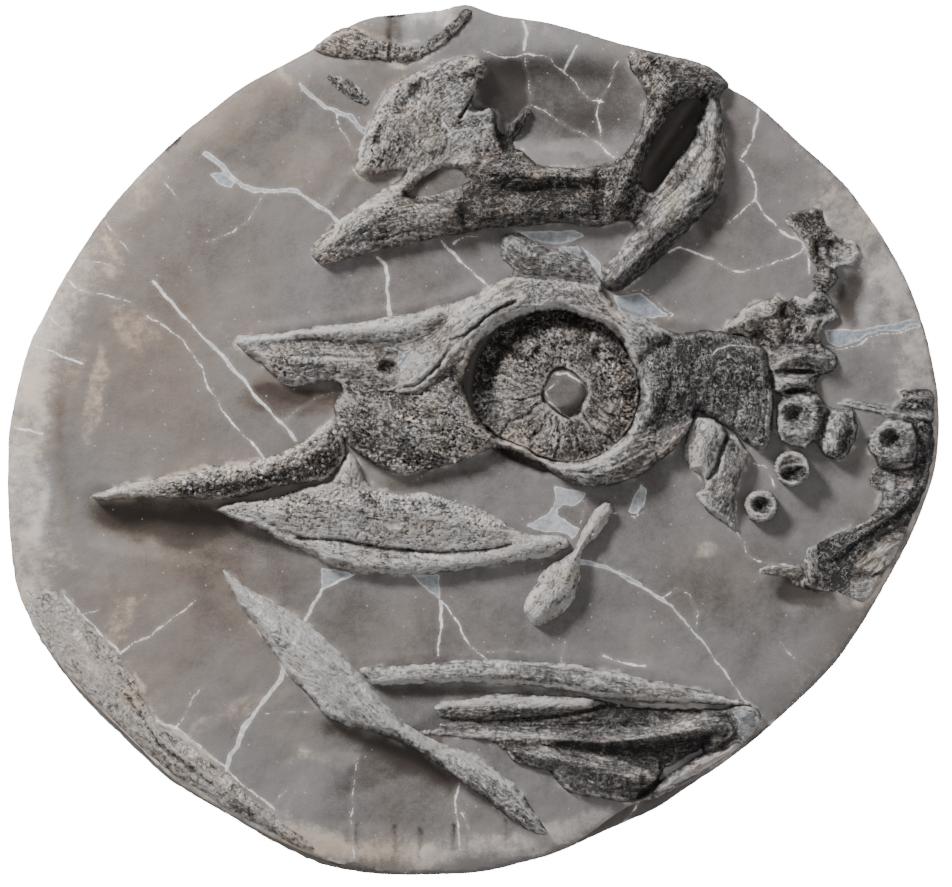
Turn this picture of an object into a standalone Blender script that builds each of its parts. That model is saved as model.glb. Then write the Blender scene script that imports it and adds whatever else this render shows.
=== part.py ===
"""Fossil marine reptile skull in a rounded block of concretion, lying flat.

Units are metres, +Z is up and the block rests on Z = 0.  X runs along the beak, from its tip to the neck,
and Y runs from the loose jaw bones up to the second skull.  The origin is under the middle of the block.

Every outline is read in plan, in picture units with y downwards.  The block's real length over its length
in those units gives the scale.  Heights are in millimetres above the flat middle of the block's top.
"""

import math

import bmesh
import bpy
from mathutils import Vector
from mathutils.geometry import delaunay_2d_cdt

# Driving dimensions
SLAB_LENGTH = 0.3317
SLAB_THICKNESS = 0.058
FIT_GAP = 0.0003
MM = 0.001

# The block's extent in picture units, which turns them into metres
PLAN_LEFT = 5.0
PLAN_RIGHT = 942.0
PLAN_TOP = 2.0
PLAN_BOTTOM = 878.0
PLAN_UNIT = SLAB_LENGTH / (PLAN_RIGHT - PLAN_LEFT)

# The rounded sides of the block: height as a share of the thickness, size as a share of the outline's
SIDE_RINGS = ((0.0, 0.82), (0.10, 0.91), (0.30, 0.975), (0.55, 1.0))
SHOULDER_SHARE = 0.93
RIM_INSET = 3.0
RIM_REACH = 40.0
RIM_DROP = 3.0 * MM
GROUND_SPACING = 42.0

# Stretches of rim where more of the side shows: x, y, half-width, extra inset
SIDE_BULGES = ((640, 819, 52, 14), (120, 740, 110, 5), (320, 868, 80, 6))

# Hollows cut around the bones: x, y, half-length, half-width, turn in degrees, depth in millimetres
HOLLOWS = (
    (560, 108, 82, 44, 0, 6.0),
    (180, 527, 88, 26, -8, 5.0),
    (682, 148, 46, 14, 55, 4.5),
    (398, 758, 78, 20, -30, 2.5),
    (848, 297, 20, 26, 0, 3.0),
    (806, 592, 30, 14, 0, 2.5),
    (560, 388, 92, 86, 0, 1.0),
)

# Depth of a bone's flat underside below the top of the block, in millimetres
SHALLOW_BED = 3.0
MIDDLE_BED = 5.0
DEEP_BED = 8.0
CUTTER_TOP = 0.090

ROUND_STEPS = 14
RING_STEPS = 24

# Colour and roughness of each kind of surface
GREY_MATRIX = ((0.205, 0.190, 0.182), 0.72)
PALE_BONE = ((0.330, 0.305, 0.280), 0.78)
GREY_BONE = ((0.200, 0.190, 0.178), 0.80)
DARK_BONE = ((0.085, 0.075, 0.066), 0.70)
BROWN_BONE = ((0.190, 0.155, 0.120), 0.82)

SLAB_OUTLINE = [
    (470, 2), (500, 12), (540, 18), (580, 28), (620, 40), (660, 51), (700, 62), (728, 83), (760, 103),
    (800, 139), (845, 180), (868, 210), (890, 243), (910, 280), (928, 330), (938, 375), (942, 410),
    (940, 460), (928, 502), (910, 545), (890, 582), (868, 620), (845, 655), (825, 678), (800, 703),
    (761, 738), (726, 765), (702, 782), (660, 810), (624, 827), (562, 854), (521, 866), (480, 875),
    (430, 878), (380, 878), (323, 869), (277, 848), (231, 821), (198, 802), (162, 779), (120, 740),
    (81, 701), (46, 655), (18, 601), (9, 560), (5, 500), (5, 458), (8, 417), (25, 348), (41, 315),
    (60, 278), (99, 218), (138, 172), (180, 132), (205, 112), (240, 85), (285, 60), (320, 41),
    (350, 22), (372, 14), (400, 11), (440, 7), (455, 3),
]


def clear_scene():
    for item in list(bpy.data.objects):
        bpy.data.objects.remove(item)


def make_collection(name):
    collection = bpy.data.collections.new(name)
    bpy.context.scene.collection.children.link(collection)
    return collection


def plan(x, y):
    """A point of the plan, in metres."""
    centre_x = (PLAN_LEFT + PLAN_RIGHT) / 2
    centre_y = (PLAN_TOP + PLAN_BOTTOM) / 2
    return Vector(((x - centre_x) * PLAN_UNIT, (centre_y - y) * PLAN_UNIT))


def counter_clockwise(points):
    area = 0.0
    for first, second in zip(points, points[1:] + points[:1]):
        area += first.x * second.y - second.x * first.y
    return points if area > 0 else points[::-1]


def plan_outline(outline):
    return counter_clockwise([plan(x, y) for x, y in outline])


def moved_outwards(points, distance):
    """A closed outline with each corner moved along its outward normal; distance is one value or a list."""
    count = len(points)
    steps = distance if isinstance(distance, list) else [distance] * count
    moved = []
    for index, point in enumerate(points):
        before = (point - points[index - 1]).normalized()
        after = (points[(index + 1) % count] - point).normalized()
        normal = Vector((before.y + after.y, -before.x - after.x)).normalized()
        spread = max(normal.dot(Vector((before.y, -before.x))), 0.6)
        moved.append(point + normal * steps[index] / spread)
    return moved


def distance_to_outline(point, points):
    best = math.inf
    for first, second in zip(points, points[1:] + points[:1]):
        edge = second - first
        share = (point - first).dot(edge) / edge.length_squared
        nearest = first + edge * min(max(share, 0.0), 1.0)
        best = min(best, (point - nearest).length)
    return best


def inside_outline(point, points):
    inside = False
    for first, second in zip(points, points[1:] + points[:1]):
        if (first.y > point.y) == (second.y > point.y):
            continue
        crossing = first.x + (point.y - first.y) * (second.x - first.x) / (second.y - first.y)
        if point.x < crossing:
            inside = not inside
    return inside


def surface_material(name, look):
    colour, roughness = look
    material = bpy.data.materials.new(name)
    material.use_nodes = True
    shader = material.node_tree.nodes["Principled BSDF"]
    shader.inputs["Base Color"].default_value = (*colour, 1.0)
    shader.inputs["Roughness"].default_value = roughness
    shader.inputs["Metallic"].default_value = 0.0
    return material


def add_object(name, mesh, collection, look):
    item = bpy.data.objects.new(name, mesh)
    collection.objects.link(item)
    mesh.materials.append(surface_material(name, look))
    return item


def mesh_from_bmesh(name, shape):
    mesh = bpy.data.meshes.new(name)
    shape.to_mesh(mesh)
    shape.free()
    return mesh


def cover(points, inner_points, inner_edges):
    """Triangles that fill an outline and pass through the inner points and edges."""
    count = len(points)
    edges = [(index, (index + 1) % count) for index in range(count)]
    edges += [(first + count, second + count) for first, second in inner_edges]
    result = delaunay_2d_cdt(points + inner_points, edges, [], 0, 1e-7, True)
    corners, triangles, sources = result[0], result[2], result[3]
    kept = []
    for triangle in triangles:
        middle = sum((corners[index] for index in triangle), Vector((0, 0))) / 3
        if inside_outline(middle, points):
            kept.append(triangle)
    return corners, kept, sources


def closed_relief(name, points, inner_points, inner_edges, outer_heights, inner_heights, base):
    """A solid with a flat base, upright walls on the outline and a relief on top."""
    shape = bmesh.new()
    corners, triangles, sources = cover(points, inner_points, inner_edges)
    heights = outer_heights + inner_heights
    top = [shape.verts.new((spot.x, spot.y, heights[source[0]])) for spot, source in zip(corners, sources)]
    for triangle in triangles:
        shape.faces.new([top[index] for index in triangle])
    rim = [top[next(i for i, s in enumerate(sources) if index in s)] for index in range(len(points))]
    foot = [shape.verts.new((point.x, point.y, base)) for point in points]
    count = len(points)
    for index in range(count):
        after = (index + 1) % count
        shape.faces.new((foot[index], foot[after], rim[after], rim[index]))
    shape.faces.new(foot[::-1])
    bmesh.ops.triangulate(shape, faces=[face for face in shape.faces if len(face.verts) > 4])
    bmesh.ops.recalc_face_normals(shape, faces=shape.faces)
    return mesh_from_bmesh(name, shape)


def ground_height(point, rim_points):
    """Height of the worked top of the block: flat, falling at the rim and dug out in the hollows."""
    reach = RIM_REACH * PLAN_UNIT
    share = min(distance_to_outline(point, rim_points) / reach, 1.0)
    height = SLAB_THICKNESS - RIM_DROP * (1 - share) ** 2
    for x, y, half_length, half_width, turn, depth in HOLLOWS:
        offset = (point - plan(x, y)) / PLAN_UNIT
        angle = math.radians(turn)
        along = offset.x * math.cos(angle) + offset.y * math.sin(angle)
        across = offset.y * math.cos(angle) - offset.x * math.sin(angle)
        spread = (along / half_length) ** 4 + (across / half_width) ** 4
        height -= depth * MM * math.exp(-spread)
    return height


def rim_outline(points):
    """The upper edge of the sides, inside the outline by more where the sides bulge out."""
    steps = []
    for point in points:
        inset = RIM_INSET
        for x, y, half_width, extra in SIDE_BULGES:
            distance = (point - plan(x, y)).length / PLAN_UNIT
            inset += extra * math.exp(-(distance / half_width) ** 2)
        steps.append(-inset * PLAN_UNIT)
    return moved_outwards(points, steps)


def ground_points(rim_points):
    """A triangular grid of points inside the rim, with their heights."""
    spacing = GROUND_SPACING * PLAN_UNIT
    row_step = spacing * math.sqrt(3) / 2
    spots = []
    row = 0
    y = min(point.y for point in rim_points)
    while y < max(point.y for point in rim_points):
        x = min(point.x for point in rim_points) + spacing / 2 * (row % 2)
        while x < max(point.x for point in rim_points):
            spot = Vector((x, y))
            clear = distance_to_outline(spot, rim_points) > spacing / 3
            if clear and inside_outline(spot, rim_points):
                spots.append(spot)
            x += spacing
        y += row_step
        row += 1
    return spots


def build_slab(collection):
    outline = plan_outline(SLAB_OUTLINE)
    rim = rim_outline(outline)
    rings = [([point * size for point in outline], share * SLAB_THICKNESS) for share, size in SIDE_RINGS]
    rings.append((moved_outwards(rim, FIT_GAP), SLAB_THICKNESS * SHOULDER_SHARE - RIM_DROP))
    shape = bmesh.new()
    layers = []
    for points, height in rings:
        layers.append([shape.verts.new((point.x, point.y, height)) for point in points])
    inner = ground_points(rim)
    corners, triangles, sources = cover(rim, inner, [])
    top = []
    for corner in corners:
        top.append(shape.verts.new((corner.x, corner.y, ground_height(corner, rim))))
    for triangle in triangles:
        shape.faces.new([top[index] for index in triangle])
    layers.append([top[next(i for i, s in enumerate(sources) if index in s)] for index in range(len(rim))])
    count = len(outline)
    for lower, upper in zip(layers, layers[1:]):
        for index in range(count):
            after = (index + 1) % count
            shape.faces.new((lower[index], lower[after], upper[after], upper[index]))
    shape.faces.new(layers[0][::-1])
    bmesh.ops.triangulate(shape, faces=[face for face in shape.faces if len(face.verts) > 4])
    bmesh.ops.recalc_face_normals(shape, faces=shape.faces)
    return add_object("matrix_slab", mesh_from_bmesh("matrix_slab", shape), collection, GREY_MATRIX)


def hide_cutter(cutter):
    cutter.hide_render = True
    cutter.display_type = 'WIRE'


def add_bed_cutter(name, points, depth, cutters):
    """The bed of a bone: its outline made wider by the gap, as a prism from the bed's floor upwards."""
    bottom = SLAB_THICKNESS - depth * MM - FIT_GAP
    curve = bpy.data.curves.new(name, 'CURVE')
    curve.dimensions = '2D'
    curve.fill_mode = 'BOTH'
    curve.extrude = (CUTTER_TOP - bottom) / 2
    line = curve.splines.new('POLY')
    wide = moved_outwards(points, FIT_GAP)
    line.points.add(len(wide) - 1)
    for spot, point in zip(line.points, wide):
        spot.co = (point.x, point.y, 0, 1)
    line.use_cyclic_u = True
    guide = bpy.data.objects.new(name, curve)
    guide.location.z = (CUTTER_TOP + bottom) / 2
    cutters.objects.link(guide)
    bpy.context.view_layer.update()
    evaluated = guide.evaluated_get(bpy.context.evaluated_depsgraph_get())
    mesh = bpy.data.meshes.new_from_object(evaluated)
    shape = bmesh.new()
    shape.from_mesh(mesh)
    bmesh.ops.remove_doubles(shape, verts=shape.verts, dist=1e-6)
    bmesh.ops.recalc_face_normals(shape, faces=shape.faces)
    shape.to_mesh(mesh)
    shape.free()
    cutter = bpy.data.objects.new(name, mesh)
    cutter.matrix_world = guide.matrix_world
    bpy.data.objects.remove(guide)
    cutters.objects.link(cutter)
    hide_cutter(cutter)


def relief_bone(name, look, bed, edge, outline, crests, collections):
    """A bone with a roof over its outline.

    bed and edge are the depth of its base and the height of its outline; each crest is a line of
    (x, y, height), high for a ridge and low for a groove.
    """
    parts, cutters = collections
    points = plan_outline(outline)
    inner_points = []
    inner_edges = []
    inner_heights = []
    for crest in crests:
        for index, (x, y, height) in enumerate(crest):
            if index:
                inner_edges.append((len(inner_points) - 1, len(inner_points)))
            inner_points.append(plan(x, y))
            inner_heights.append(SLAB_THICKNESS + height * MM)
    outer_heights = [SLAB_THICKNESS + edge * MM] * len(points)
    base = SLAB_THICKNESS - bed * MM
    mesh = closed_relief(name, points, inner_points, inner_edges, outer_heights, inner_heights, base)
    add_object(name, mesh, parts, look)
    add_bed_cutter(name + "_bed", points, bed, cutters)


def turned(name, profile, steps, collection, location):
    """A shape turned about Z from a profile of (radius, height), which runs down its outer side."""
    mesh = bpy.data.meshes.new(name)
    corners = [(radius, 0, height) for radius, height in profile]
    edges = [(index, index + 1) for index in range(len(corners) - 1)]
    if profile[0][0] > 0:
        edges.append((len(corners) - 1, 0))
    mesh.from_pydata(corners, edges, [])
    item = bpy.data.objects.new(name, mesh)
    item.location = location
    collection.objects.link(item)
    screw = item.modifiers.new("turn", 'SCREW')
    screw.steps = steps
    screw.render_steps = steps
    screw.use_merge_vertices = True
    screw.merge_threshold = 0.00001
    return item


def turned_bone(name, look, bed, centre, radius, profile, collections):
    """A round bone in a round bed.  The profile is (share of radius, height in millimetres), from its middle."""
    parts, cutters = collections
    middle = plan(*centre)
    size = radius * PLAN_UNIT
    location = (middle.x, middle.y, SLAB_THICKNESS)
    shape = [(share * size, height * MM) for share, height in profile]
    shape += [(shape[-1][0], -bed * MM), (0.0, -bed * MM)]
    item = turned(name, shape, ROUND_STEPS, parts, location)
    item.data.materials.append(surface_material(name, look))
    widest = max(share for share, height in profile) * size + FIT_GAP
    top = CUTTER_TOP - SLAB_THICKNESS
    floor = -bed * MM - FIT_GAP
    hole = [(0.0, top), (widest, top), (widest, floor), (0.0, floor)]
    hide_cutter(turned(name + "_bed", hole, ROUND_STEPS, cutters, location))


def build_eye_ring(collections):
    """The ring of eye plates, domed between its two edges, around a core of matrix."""
    parts, cutters = collections
    middle = plan(562, 389)
    location = (middle.x, middle.y, SLAB_THICKNESS)
    outer = 67 * PLAN_UNIT
    inner = 22 * PLAN_UNIT
    bed = -SHALLOW_BED * MM
    profile = [
        (inner, 1.4 * MM), (inner + 0.25 * (outer - inner), 3.2 * MM),
        (inner + 0.75 * (outer - inner), 3.0 * MM), (outer, 1.0 * MM), (outer, bed), (inner, bed),
    ]
    ring = turned("sclerotic_ring", profile, RING_STEPS, parts, location)
    ring.data.materials.append(surface_material("sclerotic_ring", BROWN_BONE))
    top = CUTTER_TOP - SLAB_THICKNESS
    hole = [
        (inner - FIT_GAP, top), (outer + FIT_GAP, top), (outer + FIT_GAP, bed - FIT_GAP),
        (inner - FIT_GAP, bed - FIT_GAP),
    ]
    hide_cutter(turned("sclerotic_ring_bed", hole, RING_STEPS, cutters, location))


def build_beak(collections):
    relief_bone("nasal", PALE_BONE, SHALLOW_BED, 6, [
        (239, 339), (252, 335), (300, 328), (364, 319), (414, 311), (448, 303), (446, 318), (436, 330),
        (421, 340), (399, 343), (349, 342), (300, 337), (270, 342), (247, 345),
    ], [[(250, 340, 7), (300, 332, 9), (350, 331, 9.5), (400, 328, 10), (436, 316, 10)]], collections)
    relief_bone("premaxilla", PALE_BONE, SHALLOW_BED, 5, [
        (240, 350), (270, 346), (300, 341), (349, 346), (392, 350), (395, 356), (382, 360), (377, 368),
        (397, 377), (392, 385), (381, 388), (346, 378), (303, 380), (295, 387), (283, 382), (268, 369),
        (250, 360),
    ], [[(255, 354, 6), (280, 361, 8), (315, 360, 9), (350, 363, 9), (371, 370, 8), (388, 381, 7)]],
        collections)


def build_brow(collections):
    relief_bone("prefrontal", PALE_BONE, SHALLOW_BED, 8, [
        (452, 304), (471, 300), (505, 289), (530, 284), (533, 311), (519, 318), (501, 326), (483, 341),
        (471, 358), (465, 372), (456, 364), (445, 369), (432, 383), (416, 390), (400, 391), (401, 380),
        (418, 360), (424, 348), (436, 336), (447, 322),
    ], [[(526, 298, 11), (500, 302, 12), (474, 322, 12), (458, 346, 11), (438, 362, 10), (414, 381, 8.5)]],
        collections)
    relief_bone("postfrontal", PALE_BONE, SHALLOW_BED, 9, [
        (535, 283), (560, 282), (590, 289), (600, 298), (624, 318), (658, 324), (672, 329), (660, 337),
        (640, 352), (634, 362), (624, 350), (612, 335), (600, 325), (580, 318), (560, 312), (538, 311),
    ], [[(545, 297, 11), (572, 299, 11.5), (598, 311, 11.5), (620, 328, 11), (636, 343, 11)],
        [(642, 330, 10.5), (658, 330, 10)]], collections)
    relief_bone("brow_blade", GREY_BONE, SHALLOW_BED, 1.5, [
        (500, 233), (519, 231), (530, 241), (545, 247), (580, 244), (590, 254), (597, 268), (595, 279),
        (583, 279), (535, 274), (500, 260), (498, 246),
    ], [[(508, 241, 4), (530, 255, 4), (560, 262, 4), (588, 267, 3.5)]], collections)


def build_cheek(collections):
    relief_bone("postorbital", DARK_BONE, SHALLOW_BED, 6, [
        (680, 332), (705, 334), (742, 345), (760, 352), (766, 362), (765, 380), (767, 400), (769, 418),
        (772, 434), (764, 446), (756, 450), (748, 442), (741, 430), (729, 418), (703, 402), (690, 404),
        (658, 419), (633, 433), (637, 418), (641, 395), (640, 378), (637, 366), (650, 352), (666, 340),
    ], [[(652, 366, 10), (654, 395, 10), (647, 420, 9)], [(690, 345, 8), (706, 368, 8), (700, 392, 7)],
        [(740, 356, 8), (746, 390, 9), (752, 420, 9), (761, 437, 8)]], collections)
    relief_bone("maxilla", GREY_BONE, SHALLOW_BED, 5, [
        (335, 396), (340, 389), (360, 387), (390, 397), (420, 393), (436, 385), (446, 373), (455, 369),
        (466, 397), (475, 415), (497, 437), (492, 446), (462, 461), (439, 465), (396, 475), (364, 459),
        (348, 447), (344, 437), (331, 408),
    ], [[(350, 404, 8), (385, 411, 8.5), (420, 405, 9), (446, 391, 10), (458, 410, 10), (480, 434, 9)],
        [(354, 432, 8), (390, 447, 9), (430, 445, 9), (462, 442, 8)]], collections)
    relief_bone("jugal", PALE_BONE, SHALLOW_BED, 6, [
        (503, 441), (519, 444), (539, 456), (560, 464), (586, 461), (604, 452), (618, 443), (649, 433),
        (651, 448), (654, 460), (650, 470), (622, 484), (604, 489), (586, 489), (568, 485), (541, 467),
        (518, 453), (500, 449),
    ], [[(512, 447, 8), (532, 457.5, 9), (556, 473, 10), (590, 475, 11), (620, 464, 11), (641, 452, 10)]],
        collections)
    relief_bone("quadratojugal", GREY_BONE, SHALLOW_BED, 5, [
        (697, 420), (686, 419), (667, 431), (660, 440), (657, 450), (660, 460), (674, 454), (691, 433),
    ], [[(685, 427, 8), (672, 442, 8.5), (665, 453, 7)]], collections)
    relief_bone("quadrate_front", PALE_BONE, SHALLOW_BED, 3.5, [
        (703, 420), (715, 418), (729, 433), (725, 444), (718, 457), (712, 482), (705, 485), (684, 467),
        (684, 457), (690, 446), (696, 434),
    ], [[(712, 429, 7), (702, 450, 7.5), (700, 470, 6.5)]], collections)
    relief_bone("quadrate_rear", GREY_BONE, SHALLOW_BED, 3, [
        (738, 440), (729, 449), (722, 461), (717, 491), (696, 502), (708, 520), (731, 527), (734, 510),
        (746, 482), (752, 466), (746, 452),
    ], [[(739, 455, 7), (729, 490, 7), (720, 508, 6)]], collections)


def build_upper_skull(collections):
    relief_bone("upper_snout", GREY_BONE, MIDDLE_BED, 5, [
        (310, 252), (318, 238), (335, 221), (360, 204), (382, 187), (400, 184), (405, 193), (415, 201),
        (440, 197), (462, 194), (462, 233), (420, 241), (385, 245), (350, 254), (325, 262), (313, 260),
    ], [[(320, 250, 7), (340, 236, 9), (365, 222, 11), (392, 206, 12), (415, 213, 11), (452, 213, 12)]],
        collections)
    relief_bone("upper_orbit_bar", DARK_BONE, DEEP_BED, 5, [
        (466, 160), (485, 159), (515, 160), (536, 166), (580, 166), (600, 164), (600, 224), (557, 224),
        (509, 228), (466, 234), (466, 195), (477, 185), (472, 172),
    ], [[(490, 168, 11), (515, 171, 12), (545, 176, 10), (590, 175, 11)],
        [(485, 189, 6), (510, 191, 5), (560, 188, 4), (590, 191, 6)],
        [(480, 213, 10), (520, 212, 11), (590, 209, 9.5)]], collections)
    relief_bone("upper_orbit_rear", DARK_BONE, DEEP_BED, 5, [
        (604, 163), (622, 155), (634, 135), (647, 104), (643, 90), (630, 70), (630, 60), (640, 54),
        (672, 62), (706, 75), (718, 87), (706, 94), (690, 101), (672, 111), (663, 123), (654, 144),
        (640, 186), (632, 200), (618, 216), (604, 223),
    ], [[(614, 205, 9), (625, 184, 10), (638, 155, 10), (650, 122, 11), (664, 96, 12), (682, 83, 12),
         (704, 84, 9)], [(642, 65, 7), (655, 78, 10)]], collections)
    relief_bone("upper_cheek_plate", PALE_BONE, DEEP_BED, 3, [
        (484, 62), (473, 57), (455, 59), (427, 70), (405, 79), (393, 87), (379, 104), (366, 130),
        (357, 152), (355, 167), (364, 180), (385, 172), (396, 169), (403, 178), (420, 170), (435, 160),
        (455, 154), (490, 153), (497, 149), (484, 130), (472, 100), (480, 88), (478, 78),
    ], [[(474, 68, 8), (455, 73, 8), (434, 87, 7), (412, 116, 6), (388, 142, 6), (372, 165, 6)],
        [(412, 86, 3), (400, 105, 3), (391, 117, 4)],
        [(468, 92, 8), (462, 115, 7.5), (444, 138, 7), (415, 156, 6)], [(478, 138, 7), (468, 146, 6)]],
        collections)
    relief_bone("upper_splinter", DARK_BONE, DEEP_BED, -3.5, [
        (503, 128), (506, 117), (516, 113), (529, 104), (527, 116), (516, 139), (511, 145), (506, 140),
    ], [[(518, 116, 0), (511, 130, 0)]], collections)
    relief_bone("temporal_bar", GREY_BONE, DEEP_BED, 4, [
        (711, 100), (705, 110), (702, 122), (698, 136), (676, 165), (657, 193), (650, 207), (644, 228),
        (633, 243), (608, 266), (602, 276), (603, 288), (618, 288), (650, 273), (664, 262), (680, 235),
        (697, 220), (723, 191), (725, 162), (720, 120), (718, 102),
    ], [[(714, 114, 9), (713, 150, 11), (708, 186, 12), (690, 206, 12), (664, 227, 12), (640, 252, 12),
         (614, 277, 10)]], collections)


def build_lower_jaw(collections):
    relief_bone("dentary", GREY_BONE, DEEP_BED, 4, [
        (94, 496), (116, 488), (150, 480), (197, 469), (240, 466), (277, 453), (295, 444), (322, 424),
        (330, 425), (338, 434), (343, 446), (338, 460), (331, 472), (323, 478), (283, 486), (240, 494),
        (198, 499), (150, 496), (104, 500),
    ], [[(108, 495, 4.5), (150, 488, 6), (200, 483, 8), (250, 477, 9), (290, 467, 9.5), (324, 443, 10)]],
        collections)
    relief_bone("jaw_fan", PALE_BONE, SHALLOW_BED, 4, [
        (349, 453), (356, 461), (360, 474), (357, 484), (346, 481), (337, 480), (340, 468), (345, 458),
    ], [[(349, 463, 7), (349, 475, 6.5)]], collections)
    relief_bone("jaw_blade", PALE_BONE, MIDDLE_BED, 4, [
        (216, 508), (235, 503), (262, 500), (290, 494), (322, 484), (346, 488), (360, 494), (420, 496),
        (460, 506), (482, 508), (500, 515), (512, 524), (518, 533), (550, 534), (571, 543), (560, 547),
        (520, 560), (480, 567), (440, 573), (392, 574), (354, 571), (325, 564), (295, 548), (235, 520),
    ], [[(250, 512, 7), (300, 506, 8), (350, 505, 9), (400, 514, 9), (450, 520, 8.5), (497, 530, 8)],
        [(300, 538, 4), (360, 545, 3.5), (420, 552, 3.5), (475, 549, 4), (505, 546, 5)],
        [(330, 557, 6.5), (390, 565, 7), (440, 564, 7), (490, 559, 7), (550, 542, 6.5)]], collections)
    relief_bone("paddle_bone", GREY_BONE, MIDDLE_BED, 4, [
        (606, 501), (614, 511), (597, 537), (586, 547), (581, 560), (580, 580), (576, 597), (566, 610),
        (556, 618), (545, 625), (533, 625), (525, 614), (525, 601), (535, 583), (547, 566), (562, 557),
        (572, 551), (579, 538), (588, 520), (595, 510),
    ], [[(603, 510, 6), (588, 530, 6.5), (574, 556, 8), (560, 585, 9), (542, 608, 9)]], collections)


def build_long_bones(collections):
    relief_bone("diagonal_blade", GREY_BONE, MIDDLE_BED, 4, [
        (221, 572), (240, 584), (285, 609), (308, 626), (326, 642), (362, 678), (378, 698), (398, 717),
        (449, 752), (507, 781), (524, 794), (537, 810), (547, 829), (545, 836), (523, 831), (500, 819),
        (449, 777), (420, 754), (395, 739), (361, 731), (335, 721), (312, 703), (276, 659), (238, 610),
        (227, 588),
    ], [[(235, 588, 6), (270, 620, 8), (310, 655, 9), (345, 695, 9), (385, 719, 9), (435, 754, 8.5),
         (480, 784, 8), (515, 806, 8), (537, 825, 6)]], collections)
    relief_bone("long_bar", PALE_BONE, SHALLOW_BED, 3.5, [
        (364, 671), (400, 667), (480, 662), (521, 664), (562, 667), (600, 672), (640, 679), (685, 689),
        (732, 704), (714, 706), (693, 701), (660, 704), (603, 696), (560, 689), (521, 683), (480, 681),
        (401, 685), (376, 685),
    ], [[(382, 678, 6), (440, 674, 7), (500, 672, 7), (560, 678, 7), (620, 688, 7), (690, 696, 6)]],
        collections)
    relief_bone("bundle_upper", PALE_BONE, SHALLOW_BED, 2.5, [
        (436, 704), (455, 699), (480, 696), (541, 697), (575, 700), (600, 706), (590, 711), (541, 716),
        (511, 715), (485, 721), (455, 725), (438, 718),
    ], [[(450, 712, 5), (490, 708, 6), (545, 706, 6), (588, 706, 5)]], collections)
    relief_bone("bundle_middle", GREY_BONE, SHALLOW_BED, 3, [
        (438, 735), (480, 732), (521, 733), (570, 735), (603, 736), (636, 731), (685, 717), (701, 711),
        (718, 717), (724, 726), (722, 740), (713, 748), (690, 741), (656, 745), (583, 745), (541, 741),
        (510, 738), (470, 739),
    ], [[(480, 735.5, 4.5), (545, 737.5, 6), (600, 741, 7), (650, 736, 8), (690, 728, 9), (711, 731, 9)]],
        collections)
    relief_bone("bundle_lower", PALE_BONE, MIDDLE_BED, 3, [
        (514, 750), (540, 747), (565, 750), (603, 758), (644, 772), (655, 780), (640, 788), (621, 798),
        (603, 797), (583, 790), (566, 787), (562, 780), (550, 767), (535, 760),
    ], [[(535, 754, 7), (560, 757, 8), (600, 766, 8.5), (635, 777, 8)], [(585, 781, 6), (612, 787, 6.5)]],
        collections)
    relief_bone("bundle_outer", PALE_BONE, MIDDLE_BED, 1.5, [
        (659, 787), (668, 777), (685, 765), (702, 757), (726, 748), (735, 746), (737, 750), (722, 757),
        (702, 767), (677, 780), (664, 787),
    ], [[(672, 779, 4), (700, 762, 5), (727, 751, 4)]], collections)
    relief_bone("bundle_knob", PALE_BONE, SHALLOW_BED, 2.5, [
        (741, 709), (749, 708), (753, 715), (748, 722), (739, 720), (737, 713),
    ], [[(745, 715, 7)]], collections)


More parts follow.
